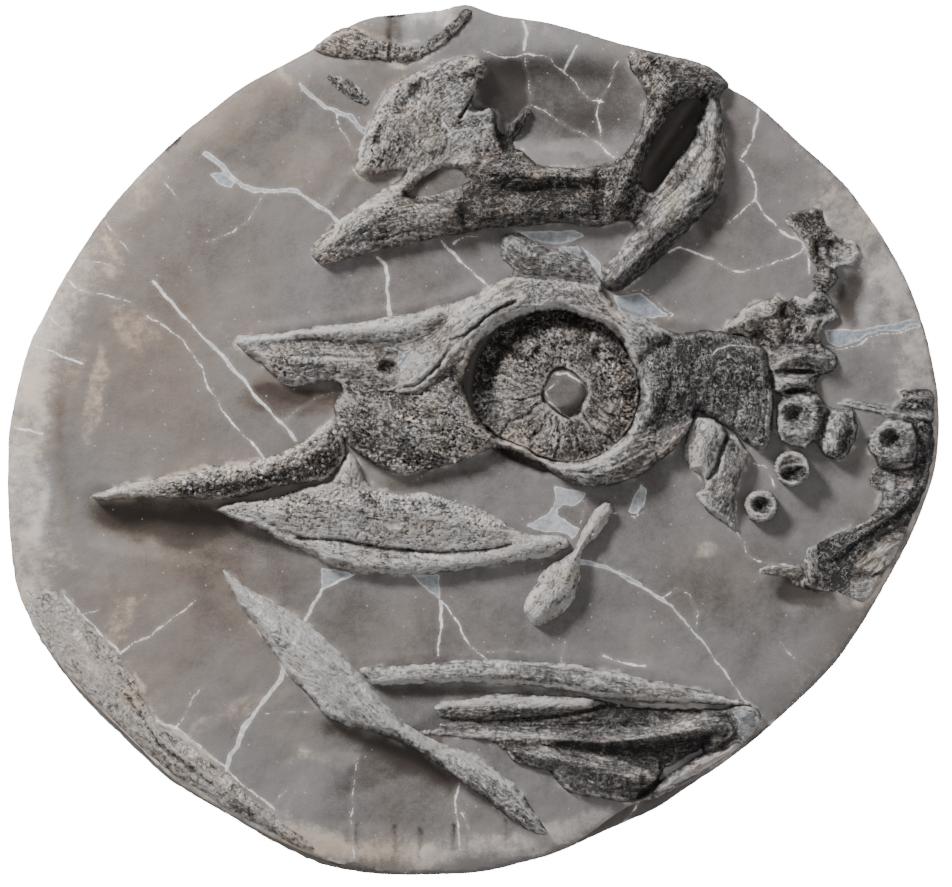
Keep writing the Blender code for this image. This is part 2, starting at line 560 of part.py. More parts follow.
def build_neck(collections):
    relief_bone("neural_arch_1", PALE_BONE, SHALLOW_BED, 3, [
        (797, 293), (807, 290), (819, 294), (823, 304), (817, 312), (801, 313), (796, 304),
    ], [[(808, 298, 7), (809, 305, 7.5)]], collections)
    relief_bone("neural_arch_2", PALE_BONE, SHALLOW_BED, 3, [
        (802, 318), (817, 316), (834, 318), (833, 323), (820, 329), (818, 340), (800, 341), (789, 337),
        (799, 327),
    ], [[(812, 322, 8), (809, 334, 8)]], collections)
    relief_bone("neural_arch_3", PALE_BONE, SHALLOW_BED, 3, [
        (794, 346), (818, 344), (828, 353), (833, 364), (826, 371), (809, 367), (790, 366), (771, 369),
        (766, 364), (779, 353),
    ], [[(786, 360, 7), (806, 354, 8.5), (820, 358, 7.5)]], collections)
    relief_bone("arch_tripod", BROWN_BONE, SHALLOW_BED, 2, [
        (712, 328), (722, 322), (742, 313), (744, 305), (754, 303), (765, 305), (778, 296), (785, 303),
        (788, 320), (783, 330), (777, 344), (764, 330), (745, 335), (730, 332),
    ], [[(728, 326, 5), (750, 317, 6.5), (770, 312, 7), (777, 326, 5)]], collections)
    relief_bone("rib_head", PALE_BONE, SHALLOW_BED, 3, [
        (773, 375), (811, 375), (814, 382), (810, 389), (790, 390), (781, 394), (774, 388),
    ], [[(782, 383, 7), (804, 381, 8)]], collections)
    relief_bone("centrum_side", GREY_BONE, SHALLOW_BED, 4.5, [
        (823, 420), (834, 414), (848, 418), (855, 427), (851, 440), (845, 451), (842, 461), (828, 459),
        (815, 454), (820, 445), (823, 432),
    ], [[(838, 428, 9), (833, 446, 8)]], collections)
    relief_bone("neck_knob", GREY_BONE, MIDDLE_BED, 1, [
        (811, 283), (813, 272), (822, 267), (831, 270), (834, 280), (826, 288), (818, 289),
    ], [[(823, 278, 4.5)]], collections)
    relief_bone("neck_spur", BROWN_BONE, SHALLOW_BED, 1, [
        (775, 216), (790, 221), (803, 228), (813, 234), (816, 244), (812, 258), (806, 254), (803, 244),
        (785, 231), (776, 224),
    ], [[(786, 225, 3), (804, 235, 4), (810, 247, 4)]], collections)
    spool = [(0.0, 5.5), (0.35, 5.8), (0.7, 8.5), (0.88, 8.8), (1.0, 7.8), (0.9, 2.0)]
    low_spool = [(0.0, 2.8), (0.3, 3.2), (0.65, 5.8), (0.85, 6.0), (1.0, 4.6), (0.95, 0.0)]
    turned_bone("centrum_1", PALE_BONE, SHALLOW_BED, (799, 418), 20, spool, collections)
    turned_bone("centrum_2", PALE_BONE, SHALLOW_BED, (792, 468), 20.5, spool, collections)
    turned_bone("centrum_3", PALE_BONE, SHALLOW_BED, (761, 506), 18, low_spool, collections)
    turned_bone("centrum_4", PALE_BONE, MIDDLE_BED, (893, 442), 21.5, low_spool, collections)
    dish = [(0.0, -0.5), (0.6, 0.5), (0.85, 2.4), (1.0, 1.6)]
    turned_bone("neck_socket", PALE_BONE, MIDDLE_BED, (839, 251), 18, dish, collections)


def build_rim_bones(collections):
    relief_bone("rim_crescent", GREY_BONE, DEEP_BED, -0.5, [
        (318, 50), (327, 57), (350, 61), (385, 65), (415, 64), (430, 57), (448, 45), (460, 34), (470, 20),
        (474, 10), (465, 10), (452, 25), (438, 38), (420, 44), (398, 52), (386, 46), (370, 35), (350, 30),
        (335, 38),
    ], [[(332, 48, 2), (352, 46, 2.5), (382, 56, 2), (412, 54, 2.5), (436, 48, 3), (456, 31, 3),
         (468, 15, 1.5)]], collections)
    relief_bone("spongy_oval", BROWN_BONE, SHALLOW_BED, 0.3, [
        (325, 76), (337, 74), (350, 79), (362, 88), (371, 99), (366, 106), (352, 101), (338, 91),
    ], [[(336, 80, 0.8), (350, 89, 1.0), (363, 99, 0.8)]], collections)
    relief_bone("rim_bone_left", PALE_BONE, DEEP_BED, -0.5, [
        (27, 592), (41, 586), (55, 588), (65, 597), (80, 618), (104, 642), (128, 664), (138, 681),
        (154, 714), (164, 727), (208, 755), (258, 801), (314, 848), (300, 845), (268, 829), (221, 802),
        (171, 769), (148, 750), (129, 732), (92, 695), (56, 650), (33, 612),
    ], [[(42, 604, 1.5), (70, 640, 2), (100, 675, 2.5), (135, 712, 3), (160, 740, 3), (200, 770, 3),
         (240, 799, 2.5), (280, 829, 2)]], collections)
    relief_bone("rim_rib", PALE_BONE, MIDDLE_BED, 0, [
        (838, 400), (855, 402), (875, 407), (900, 411), (932, 415), (931, 420), (900, 417), (875, 413),
        (855, 409), (839, 407),
    ], [[(850, 405, 2.5), (880, 411, 2.5), (918, 416.5, 2)]], collections)
    relief_bone("rim_stub", DARK_BONE, DEEP_BED, -1, [
        (898, 396), (912, 390), (933, 389), (934, 407), (920, 404), (903, 403),
    ], [[(910, 397, 3), (926, 398, 3)]], collections)
    relief_bone("rim_arc", DARK_BONE, DEEP_BED, -1.5, [
        (919, 425), (931, 425), (933, 440), (931, 465), (928, 484), (917, 500), (903, 514), (886, 527),
        (868, 541), (854, 555), (838, 568), (829, 571), (821, 563), (821, 546), (829, 539), (847, 531),
        (880, 517), (898, 505), (914, 490), (923, 475), (924, 458), (920, 440),
    ], [[(926, 440, 1), (927, 463, 1), (920, 487, 2), (895, 512, 3), (868, 529, 3), (845, 546, 3),
         (831, 556, 3)]], collections)
    relief_bone("rim_lobe", PALE_BONE, MIDDLE_BED, -0.5, [
        (871, 471), (881, 482), (880, 497), (886, 506), (897, 500), (910, 487), (915, 476), (902, 479),
        (886, 475),
    ], [[(890, 484, 2.5), (892, 494, 2)]], collections)
    relief_bone("rim_plate", BROWN_BONE, DEEP_BED, -1.5, [
        (857, 556), (866, 546), (884, 538), (900, 534), (901, 541), (896, 557), (888, 569), (874, 570),
        (858, 566),
    ], [[(868, 556, 2), (888, 547, 2)]], collections)
    relief_bone("small_splinter", GREY_BONE, SHALLOW_BED, 0.3, [
        (760, 565), (798, 566), (799, 572), (780, 574), (762, 572),
    ], [[(770, 569, 1.5), (790, 570, 1.5)]], collections)
    relief_bone("pale_mound", PALE_BONE, MIDDLE_BED, 0, [
        (806, 550), (814, 546), (816, 560), (817, 574), (811, 585), (803, 582), (805, 572), (804, 562),
    ], [[(810, 555, 2), (811, 575, 2)]], collections)


def cut_beds(slab, cutters):
    """Cut every bed out of the block, one Boolean for the whole collection of cutters."""
    bpy.context.view_layer.update()
    cut = slab.modifiers.new("beds", 'BOOLEAN')
    cut.operation = 'DIFFERENCE'
    cut.solver = 'EXACT'
    cut.operand_type = 'COLLECTION'
    cut.collection = cutters


def main():
    clear_scene()
    parts = make_collection("fossil_skull_slab")
    cutters = make_collection("bed_cutters")
    collections = (parts, cutters)
    slab = build_slab(parts)
    build_beak(collections)
    build_brow(collections)
    build_cheek(collections)
    build_eye_ring(collections)
    build_upper_skull(collections)
    build_lower_jaw(collections)
    build_long_bones(collections)
    build_neck(collections)
    build_rim_bones(collections)
    cut_beds(slab, cutters)


main()
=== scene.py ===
"""Surface of the fossil marine reptile skull slab.

Plan positions are in picture units (x to the right, y downwards), and heights are in millimetres above the
flat middle of the block's top.  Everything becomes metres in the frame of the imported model.
"""

import math

import bmesh
import bpy
import numpy as np
from bpy.props import FloatProperty, FloatVectorProperty, PointerProperty
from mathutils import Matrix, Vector
from mathutils.bvhtree import BVHTree
from mathutils.geometry import delaunay_2d_cdt
from mathutils.kdtree import KDTree


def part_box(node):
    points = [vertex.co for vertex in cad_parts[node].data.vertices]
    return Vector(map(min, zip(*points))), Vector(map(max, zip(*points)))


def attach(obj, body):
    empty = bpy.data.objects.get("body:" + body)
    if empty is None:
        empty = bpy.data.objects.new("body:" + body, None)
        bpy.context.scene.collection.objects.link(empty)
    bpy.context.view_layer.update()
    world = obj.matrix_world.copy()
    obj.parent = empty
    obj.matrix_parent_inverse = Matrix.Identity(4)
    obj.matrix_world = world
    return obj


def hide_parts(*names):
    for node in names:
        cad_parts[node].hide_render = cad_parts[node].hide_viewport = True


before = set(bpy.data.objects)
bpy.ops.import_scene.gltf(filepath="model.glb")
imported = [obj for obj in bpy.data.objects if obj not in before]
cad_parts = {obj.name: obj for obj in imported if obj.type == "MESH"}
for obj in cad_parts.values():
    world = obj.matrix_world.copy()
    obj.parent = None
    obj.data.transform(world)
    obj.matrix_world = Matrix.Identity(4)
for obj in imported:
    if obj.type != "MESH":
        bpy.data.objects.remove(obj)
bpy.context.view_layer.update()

bl_info = {
    "name": "Fossil skull slab",
    "version": (1, 0, 0),
    "blender": (4, 5, 0),
    "location": "View3D > Sidebar > Fossil",
    "description": "Builds the surface of a fossil marine reptile skull in its block of concretion",
    "category": "Add Mesh",
}

# Plan extent of the block in picture units, and its size from the frame
PLAN_LEFT = 5.0
PLAN_RIGHT = 942.0
PLAN_TOP = 2.0
PLAN_BOTTOM = 878.0
SLAB_LOW, SLAB_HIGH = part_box("matrix_slab")
UNIT = (SLAB_HIGH.x - SLAB_LOW.x) / (PLAN_RIGHT - PLAN_LEFT)
TOP = SLAB_HIGH.z
MM = 0.001
UNIT_MM = UNIT / MM
CENTRE_X = (PLAN_LEFT + PLAN_RIGHT) / 2
CENTRE_Y = (PLAN_TOP + PLAN_BOTTOM) / 2

# Rim of the worked face: height of the widest outline as a share, inset, reach and fall of the rim, and
# stretches where more of the side shows (x, y, half-width, extra inset)
BELLY_SHARE = 0.55
RIM_INSET = 3.0
RIM_REACH = 40.0
RIM_DROP = 3.0
SIDE_BULGES = ((640, 819, 52, 14), (120, 740, 110, 5), (320, 868, 80, 6))

# Hollows of the top: x, y, half-length, half-width, turn in degrees, depth
HOLLOWS = (
    (560, 108, 82, 44, 0, 6.0), (180, 527, 88, 26, -8, 5.0), (682, 148, 46, 14, 55, 4.5),
    (398, 758, 78, 20, -30, 2.5), (848, 297, 20, 26, 0, 3.0), (806, 592, 30, 14, 0, 2.5),
    (560, 388, 92, 86, 0, 1.0),
)

# Tones of a vein's mineral
WHITE = 0.0
BLUE = 1.0

# Distance in millimetres that stands for no vein nearby
NO_VEIN = 40.0

# Spacing of the points of outlines in picture units, and size of a triangle's row in a grid of step one
OUTLINE_STEP = 3.9
LOOP_STEP = 2.0
ROW_PITCH = 0.866
GRID_JITTER = 0.16

# Slow and quick swell of the worked face, in millimetres
GROUND_SWELL = 0.45
GROUND_RIPPLE = 0.12

# Between the bones of a group the surface drops this far in millimetres, over this reach in picture units
GAP_DROP = 0.8
GAP_REACH = 9.0
GAP_DEPTHS = {"neck_column": 2.4, "right_rim_bones": 2.0, "lower_bundle": 1.4}
# Painted shade: fall of tone in the gaps between the bones of these groups
GAP_PAINTED_SHADE = 0.22

# Rounds of averaging where two bones of a group meet, with open gaps between them and without
SHORT_BLEND = 12
LONG_BLEND = 60

# The eye: centre, outer radius and middle radius of the ring of plates, how many plates it has, the pits
# of its spongy part (x, y, size) and how deep the opening round it lies, in millimetres
EYE = (562, 389)
EYE_OUTER = 76.0
EYE_RADIUS = 48.0
EYE_PLATES = 15
EYE_PITS = ((537, 352, 6), (517, 356, 6), (553, 348, 4), (570, 344, 5), (596, 352, 4))
ORBIT_DROP = 5.0

# Least height of a group's surface over the matrix, in millimetres
GAP_LIFT = 0.7

# Width of a vein's fill against the width of its trace
VEIN_SHARE = 0.66

# Mineral veins: width, tone from white to blue-grey, route
VEINS = (
    (6, BLUE, [(300, 84), (312, 97), (325, 107), (338, 113), (350, 117), (356, 124), (364, 132)]),
    (2, WHITE, [(335, 112), (343, 130), (352, 148)]),
    (7, 0.7, [(205, 153), (215, 160), (224, 168), (236, 180), (243, 187), (255, 190), (285, 191),
     (297, 192), (315, 205), (325, 210), (335, 218), (341, 222)]),
    (2, WHITE, [(265, 193), (255, 210), (245, 224), (232, 233), (215, 240), (205, 243)]),
    (5, 0.25, [(153, 281), (168, 299), (185, 318), (208, 343), (231, 366), (254, 392), (277, 417),
     (295, 440)]),
    (3, WHITE, [(148, 315), (166, 329), (185, 343), (198, 361), (208, 385), (221, 408), (240, 433),
     (264, 458)]),
    (2, WHITE, [(105, 222), (118, 238), (130, 252)]),
    (2.5, WHITE, [(65, 277), (75, 288), (88, 292), (103, 294), (118, 298), (130, 303)]),
    (2, WHITE, [(80, 258), (100, 262), (115, 266)]),
    (3, WHITE, [(35, 345), (50, 352), (65, 358), (83, 364)]),
    (2, WHITE, [(45, 315), (55, 322), (66, 330)]),
    (3, WHITE, [(15, 427), (30, 430), (43, 434)]),
    (2, WHITE, [(163, 182), (172, 190), (178, 199)]),
    (2, WHITE, [(158, 160), (166, 173)]),
    (6, 0.3, [(376, 257), (384, 263), (387, 275), (388, 290), (389, 305), (390, 314)]),
    (4, 0.2, [(441, 240), (448, 248), (458, 258), (470, 270), (480, 280), (488, 288)]),
    (3, WHITE, [(478, 236), (462, 239), (455, 244)]),
    (5, 0.8, [(523, 20), (526, 35), (524, 50)]),
    (2.5, 0.3, [(485, 50), (495, 55), (505, 58), (515, 57), (525, 53), (535, 54), (548, 56), (556, 64),
     (564, 71), (575, 81), (580, 90), (590, 99), (603, 102)]),
    (2, WHITE, [(525, 55), (527, 70), (528, 85), (530, 105), (545, 111), (560, 120), (575, 130),
     (590, 137), (602, 145), (610, 153), (616, 158)]),
    (4, 0.6, [(564, 71), (570, 58), (577, 45)]),
    (2, WHITE, [(618, 62), (613, 70), (610, 80), (606, 90), (600, 100), (597, 115), (600, 130),
     (601, 145)]),
    (3.5, 0.3, [(760, 110), (757, 125), (752, 145), (740, 160), (747, 164), (752, 175), (755, 188),
     (754, 200), (745, 207), (740, 213), (733, 220), (728, 224)]),
    (3, WHITE, [(754, 200), (762, 210), (770, 220), (776, 226)]),
    (3, WHITE, [(668, 252), (680, 247), (690, 250), (700, 254), (712, 258), (722, 265), (732, 271),
     (742, 273), (755, 270), (768, 266), (778, 260), (790, 258), (800, 253), (802, 245)]),
    (3.5, WHITE, [(780, 230), (790, 236), (801, 242), (806, 251), (809, 262), (808, 275)]),
    (6, 0.25, [(320, 589), (316, 600), (310, 612), (305, 622), (296, 640), (288, 655), (280, 680),
     (272, 690), (265, 700), (258, 708), (250, 718), (243, 730), (237, 745), (230, 757), (226, 770)]),
    (3, WHITE, [(322, 587), (340, 580), (356, 573)]),
    (5, 0.1, [(439, 598), (440, 610), (441, 625), (440, 640), (438, 655)]),
    (3, WHITE, [(441, 600), (450, 612), (460, 625), (468, 640), (476, 650), (485, 660)]),
    (7, 0.7, [(580, 562), (590, 562), (606, 567), (620, 574), (640, 584)]),
    (5, 0.6, [(640, 584), (655, 595), (670, 606), (685, 622), (700, 640)]),
    (3, 0.5, [(700, 640), (712, 655), (722, 670), (732, 685), (742, 697), (750, 705)]),
    (2, WHITE, [(587, 500), (583, 512), (580, 525)]),
    (2, WHITE, [(613, 515), (625, 513), (635, 517), (645, 512)]),
    (3, WHITE, [(603, 655), (615, 660), (630, 664), (645, 667)]),
    (1.2, WHITE, [(460, 655), (480, 653), (500, 650), (515, 652), (530, 655)]),
    (1.2, WHITE, [(565, 640), (563, 655), (562, 665)]),
    (3, 0.2, [(120, 654), (135, 643), (150, 635), (165, 623), (180, 612), (195, 600)]),
    (1.2, WHITE, [(83, 615), (98, 610)]),
    (2.5, WHITE, [(200, 689), (192, 700), (188, 712), (183, 722), (176, 729)]),
    (3.5, 0.1, [(65, 594), (80, 614), (104, 638), (118, 652)]),
    (3.5, 0.1, [(158, 720), (176, 729), (192, 740), (210, 755), (226, 768), (240, 782), (258, 797),
     (275, 810)]),
    (2, WHITE, [(287, 790), (279, 797), (275, 808)]),
    (2, WHITE, [(357, 757), (355, 775), (353, 790), (355, 805), (351, 820), (352, 840), (354, 858)]),
    (3.5, 0.3, [(459, 785), (457, 800), (456, 815), (458, 830), (460, 850)]),
    (2, WHITE, [(460, 812), (466, 825), (475, 835)]),
    (1.2, WHITE, [(265, 714), (290, 712), (320, 711)]),
    (1.2, WHITE, [(283, 422), (297, 410), (315, 399), (333, 392)]),
    (2, WHITE, [(736, 500), (734, 524), (740, 537), (747, 554), (760, 561), (775, 565), (798, 566)]),
    (2.5, WHITE, [(753, 462), (765, 468), (772, 478), (775, 487)]),
    (2, WHITE, [(782, 645), (795, 658)]),
    (3, WHITE, [(640, 803), (630, 815), (620, 828)]),
    (3, WHITE, [(441, 120), (443, 126), (449, 134), (448, 145), (447, 155)]),
    (3, WHITE, [(449, 134), (458, 131), (467, 129)]),
    (2.5, WHITE, [(712, 356), (718, 348), (730, 345), (745, 346), (753, 347)]),
    (2.5, WHITE, [(353, 500), (352, 520), (354, 538)]),
    (2, WHITE, [(455, 500), (454, 515), (456, 530)]),
    (3, WHITE, [(419, 101), (416, 118)]),
    (3, 0.1, [(556, 374), (567, 373), (585, 386), (588, 393), (580, 408), (569, 418), (548, 402),
     (545, 392), (560, 378)]),
    (2, 0.2, [(612, 294), (640, 290), (655, 298), (665, 308), (674, 314), (668, 320)]),
    (2.5, 0.1, [(826, 346), (840, 350), (856, 347), (866, 340), (880, 334), (903, 331), (922, 326)]),
    (2, WHITE, [(662, 600), (675, 588), (690, 596)]),
    (1.5, WHITE, [(690, 596), (697, 612), (695, 630)]),
)

# Mineral fillings with an outline: tone, outline
FILLINGS = (
    (0.9, [(210, 174), (222, 170), (236, 182), (232, 188), (218, 184)]),
    (0.85, [(520, 232), (545, 231), (575, 230), (585, 236), (572, 243), (548, 244), (533, 240)]),
    (0.8, [(555, 247), (580, 246), (600, 262), (603, 278), (597, 282), (590, 262)]),
    (0.8, [(398, 350), (410, 351), (414, 358), (406, 368), (398, 368)]),
    (1.0, [(613, 296), (640, 294), (655, 303), (664, 312), (670, 315), (655, 318), (635, 317),
     (622, 313)]),
    (1.0, [(822, 329), (846, 329), (861, 331), (879, 325), (902, 321), (920, 320), (924, 323), (902, 329),
     (879, 331), (864, 338), (855, 344), (838, 347), (827, 342)]),
    (0.9, [(322, 568), (352, 572), (340, 580), (320, 590)]),
    (0.9, [(412, 576), (440, 576), (440, 600), (428, 590)]),
    (0.75, [(554, 486), (568, 489), (587, 493), (582, 500), (574, 505), (564, 506), (558, 510), (558, 515),
     (566, 519), (572, 525), (579, 529), (577, 535), (572, 541), (568, 535), (556, 532), (541, 531),
     (523, 526), (535, 519), (547, 514), (554, 505), (556, 500)]),
    (0.8, [(640, 482), (648, 490), (645, 505), (638, 514), (628, 512), (632, 500)]),
    (0.7, [(733, 713), (741, 709), (752, 712), (759, 719), (752, 731), (744, 741), (736, 734),
     (739, 724)]),
)

# Soft stains of the matrix, and painted shade in its hollows and under the bones: x, y, half-length,
# half-width, turn, change of tone, change of warmth
STAINS_AND_PAINTED_SHADE = (
    (137, 326, 26, 22, 20, 0.20, 0.35), (96, 400, 9, 55, 8, 0.22, 0.25), (300, 160, 30, 28, 0, 0.12, 0.25),
    (575, 148, 36, 9, 0, 0.22, 0.20), (120, 622, 14, 34, 35, 0.14, 0.15),
    (235, 712, 70, 9, -25, 0.14, 0.2), (320, 757, 44, 6, 0, 0.14, 0.2), (655, 655, 30, 14, 0, 0.06, 0.1),
    (703, 549, 13, 8, -25, 0.26, 0.3), (722, 238, 10, 8, 0, 0.16, 0.1), (288, 398, 56, 16, 0, -0.14, 0.35),
    (505, 90, 24, 34, 0, -0.16, 0.0), (560, 100, 84, 48, 0, -0.08, 0.0),
    (680, 145, 34, 62, 28, -0.16, -0.1), (436, 182, 26, 14, 0, -0.08, 0.2),
    (715, 218, 14, 22, 30, -0.18, 0.0), (850, 297, 17, 28, 0, -0.22, 0.0),
    (806, 592, 30, 12, 0, -0.25, 0.3), (400, 752, 80, 24, -28, -0.16, 0.2),
    (165, 520, 84, 24, 6, -0.22, 0.35), (210, 560, 90, 34, 10, -0.08, 0.25),
    (545, 800, 24, 14, -20, 0.0, -0.4), (880, 300, 24, 60, 12, 0.16, -0.1),
    (905, 355, 22, 30, 0, 0.10, -0.1), (840, 190, 34, 20, -40, 0.05, 0.1),
    (855, 590, 22, 22, 0, 0.24, 0.0), (880, 255, 14, 18, 0, -0.16, 0.0), (800, 200, 30, 24, 0, 0.05, 0.2),
    (640, 560, 90, 60, 0, -0.03, 0.15), (200, 360, 90, 70, 0, 0.0, 0.15),
    (480, 620, 120, 40, 0, -0.02, 0.1), (740, 600, 80, 60, 0, -0.05, 0.1),
    (150, 240, 60, 60, 0, 0.03, 0.3), (240, 110, 70, 30, -25, 0.02, 0.35),
    (350, 840, 90, 18, 4, 0.14, 0.1), (520, 845, 60, 14, -8, 0.14, 0.0),
    (830, 640, 60, 20, -50, 0.06, 0.1), (40, 480, 26, 90, 0, 0.10, 0.0), (60, 360, 30, 40, 20, 0.08, 0.1),
    (160, 690, 50, 26, 40, 0.06, 0.1),
)

# Bones: tone from dark to pale, warmth, shoulder in millimetres, relief of the fibres, lumps and pits,
# and the line that the fibres follow
BONES = {
    "nasal": (0.76, 0.08, 2.60, 0.16, 0.12, 0.10, [(239, 339), (300, 331), (400, 328), (448, 312)]),
    "premaxilla": (0.62, 0.25, 2.40, 0.20, 0.24, 0.26, [(240, 352), (290, 364), (350, 362), (395, 360)]),
    "prefrontal": (0.74, 0.25, 2.40, 0.20, 0.16, 0.14, [(400, 390), (432, 370), (456, 345), (476, 322),
        (500, 304), (532, 297)]),
    "postfrontal": (0.60, 0.15, 2.40, 0.22, 0.20, 0.20, [(535, 297), (570, 298), (600, 312), (640, 345)]),
    "brow_blade": (0.48, 0.05, 2.40, 0.20, 0.20, 0.14, [(500, 240), (530, 258), (597, 268)]),
    "postorbital": (0.16, 0.10, 2.40, 0.10, 0.34, 0.34, [(652, 350), (654, 395), (640, 430)]),
    "maxilla": (0.48, 0.40, 2.20, 0.14, 0.50, 0.50, [(335, 400), (400, 425), (495, 440)]),
    "jugal": (0.40, 0.35, 2.60, 0.30, 0.24, 0.20, [(503, 446), (535, 460), (560, 474), (590, 476),
        (620, 464), (652, 450)]),
    "quadratojugal": (0.42, 0.15, 2.20, 0.22, 0.22, 0.16, [(660, 455), (695, 425)]),
    "quadrate_front": (0.84, 0.10, 2.20, 0.10, 0.20, 0.16, [(712, 420), (700, 480)]),
    "quadrate_rear": (0.58, 0.05, 2.00, 0.16, 0.24, 0.18, [(740, 442), (710, 524)]),
    "sclerotic_ring": (0.41, 0.50, 0.80, 0.10, 0.26, 0.40, None),
    "upper_snout": (0.52, 0.35, 3.00, 0.26, 0.30, 0.24, [(310, 254), (350, 230), (400, 210), (462, 214)]),
    "upper_orbit_bar": (0.16, 0.60, 2.60, 0.30, 0.24, 0.26, [(466, 196), (530, 192), (600, 194)]),
    "upper_orbit_rear": (0.15, 0.45, 3.00, 0.24, 0.50, 0.55, [(604, 210), (626, 184), (640, 150),
        (652, 118), (672, 84), (716, 84)]),
    "upper_cheek_plate": (0.66, 0.40, 2.00, 0.14, 0.44, 0.28, [(370, 180), (390, 130), (430, 84),
        (484, 62)]),
    "upper_splinter": (0.06, 0.0, 1.2, 0.20, 0.20, 0.10, [(506, 140), (524, 108)]),
    "temporal_bar": (0.42, 0.25, 2.60, 0.28, 0.26, 0.16, [(714, 104), (713, 150), (706, 190), (664, 228),
        (636, 256), (606, 284)]),
    "dentary": (0.62, 0.45, 2.00, 0.20, 0.36, 0.34, [(94, 497), (200, 484), (290, 466), (338, 440)]),
    "jaw_fan": (0.74, 0.10, 1.60, 0.30, 0.16, 0.05, [(349, 453), (347, 484)]),
    "jaw_blade": (0.82, 0.15, 2.20, 0.22, 0.30, 0.26, [(216, 510), (300, 520), (400, 535), (571, 543)]),
    "paddle_bone": (0.86, 0.20, 2.20, 0.18, 0.40, 0.30, [(608, 504), (585, 540), (566, 580), (538, 622)]),
    "diagonal_blade": (0.80, -0.10, 2.20, 0.12, 0.10, 0.06, [(222, 574), (300, 640), (400, 728),
        (546, 833)]),
    "long_bar": (0.66, -0.05, 1.60, 0.18, 0.10, 0.06, [(366, 678), (440, 675), (520, 673), (600, 684),
        (732, 705)]),
    "bundle_upper": (0.6, 0.2, 2.0, 0.34, 0.20, 0.10, [(436, 712), (600, 706)]),
    "bundle_middle": (0.52, 0.1, 1.8, 0.36, 0.28, 0.15, [(438, 737), (600, 741), (724, 730)]),
    "bundle_lower": (0.52, 0.1, 2.2, 0.36, 0.30, 0.15, [(514, 752), (600, 772), (655, 782)]),
    "bundle_outer": (0.56, 0.1, 1.6, 0.30, 0.22, 0.10, [(660, 786), (737, 748)]),
    "bundle_knob": (0.58, 0.0, 1.4, 0.10, 0.24, 0.20, [(737, 715), (753, 715)]),
    "neural_arch_1": (0.58, 0.1, 1.4, 0.10, 0.40, 0.30, [(798, 302), (822, 304)]),
    "neural_arch_2": (0.58, 0.1, 1.4, 0.12, 0.42, 0.30, [(812, 316), (808, 342)]),
    "neural_arch_3": (0.56, 0.2, 1.4, 0.16, 0.42, 0.30, [(766, 364), (832, 360)]),
    "arch_tripod": (0.56, 0.5, 1.2, 0.16, 0.44, 0.30, [(712, 328), (788, 312)]),
    "rib_head": (0.60, 0.1, 1.4, 0.14, 0.34, 0.25, [(773, 384), (814, 382)]),
    "centrum_side": (0.48, 0.0, 1.6, 0.14, 0.36, 0.30, [(838, 416), (830, 460)]),
    "neck_knob": (0.34, 0.2, 1.4, 0.10, 0.40, 0.35, [(811, 278), (834, 278)]),
    "neck_spur": (0.50, 0.5, 1.2, 0.12, 0.44, 0.30, [(775, 218), (812, 250)]),
    "centrum_1": (0.56, 0.1, 1.2, 0.0, 0.40, 0.25, [(779, 418), (819, 418)]),
    "centrum_2": (0.58, 0.1, 1.0, 0.0, 0.30, 0.25, [(772, 468), (812, 468)]),
    "centrum_3": (0.54, 0.2, 1.0, 0.0, 0.34, 0.30, [(743, 506), (779, 506)]),
    "centrum_4": (0.52, 0.1, 1.2, 0.0, 0.36, 0.25, [(872, 442), (914, 442)]),
    "neck_socket": (0.52, 0.3, 1.0, 0.0, 0.30, 0.30, [(821, 251), (857, 251)]),
    "rim_crescent": (0.42, 0.60, 2.40, 0.22, 0.40, 0.26, [(318, 54), (400, 60), (440, 44), (472, 12)]),
    "spongy_oval": (0.30, 0.40, 0.80, 0.00, 0.16, 0.60, [(325, 78), (371, 102)]),
    "rim_bone_left": (0.80, 0.50, 2.60, 0.10, 0.30, 0.20, [(34, 598), (120, 690), (200, 770), (308, 846)]),
    "rim_rib": (0.58, 0.1, 1.2, 0.24, 0.20, 0.10, [(838, 404), (932, 418)]),
    "rim_stub": (0.26, 0.1, 1.4, 0.12, 0.40, 0.30, [(898, 398), (934, 398)]),
    "rim_arc": (0.16, 0.1, 2.0, 0.26, 0.44, 0.30, [(926, 426), (928, 465), (906, 503), (866, 533),
        (826, 560)]),
    "rim_lobe": (0.62, 0.2, 1.6, 0.10, 0.40, 0.30, [(871, 475), (912, 485)]),
    "rim_plate": (0.66, 0.4, 1.4, 0.36, 0.26, 0.10, [(857, 562), (901, 536)]),
    "small_splinter": (0.46, 0.2, 1.0, 0.24, 0.16, 0.05, [(760, 568), (799, 570)]),
    "pale_mound": (0.66, 0.1, 1.4, 0.08, 0.26, 0.15, [(808, 548), (808, 584)]),
}

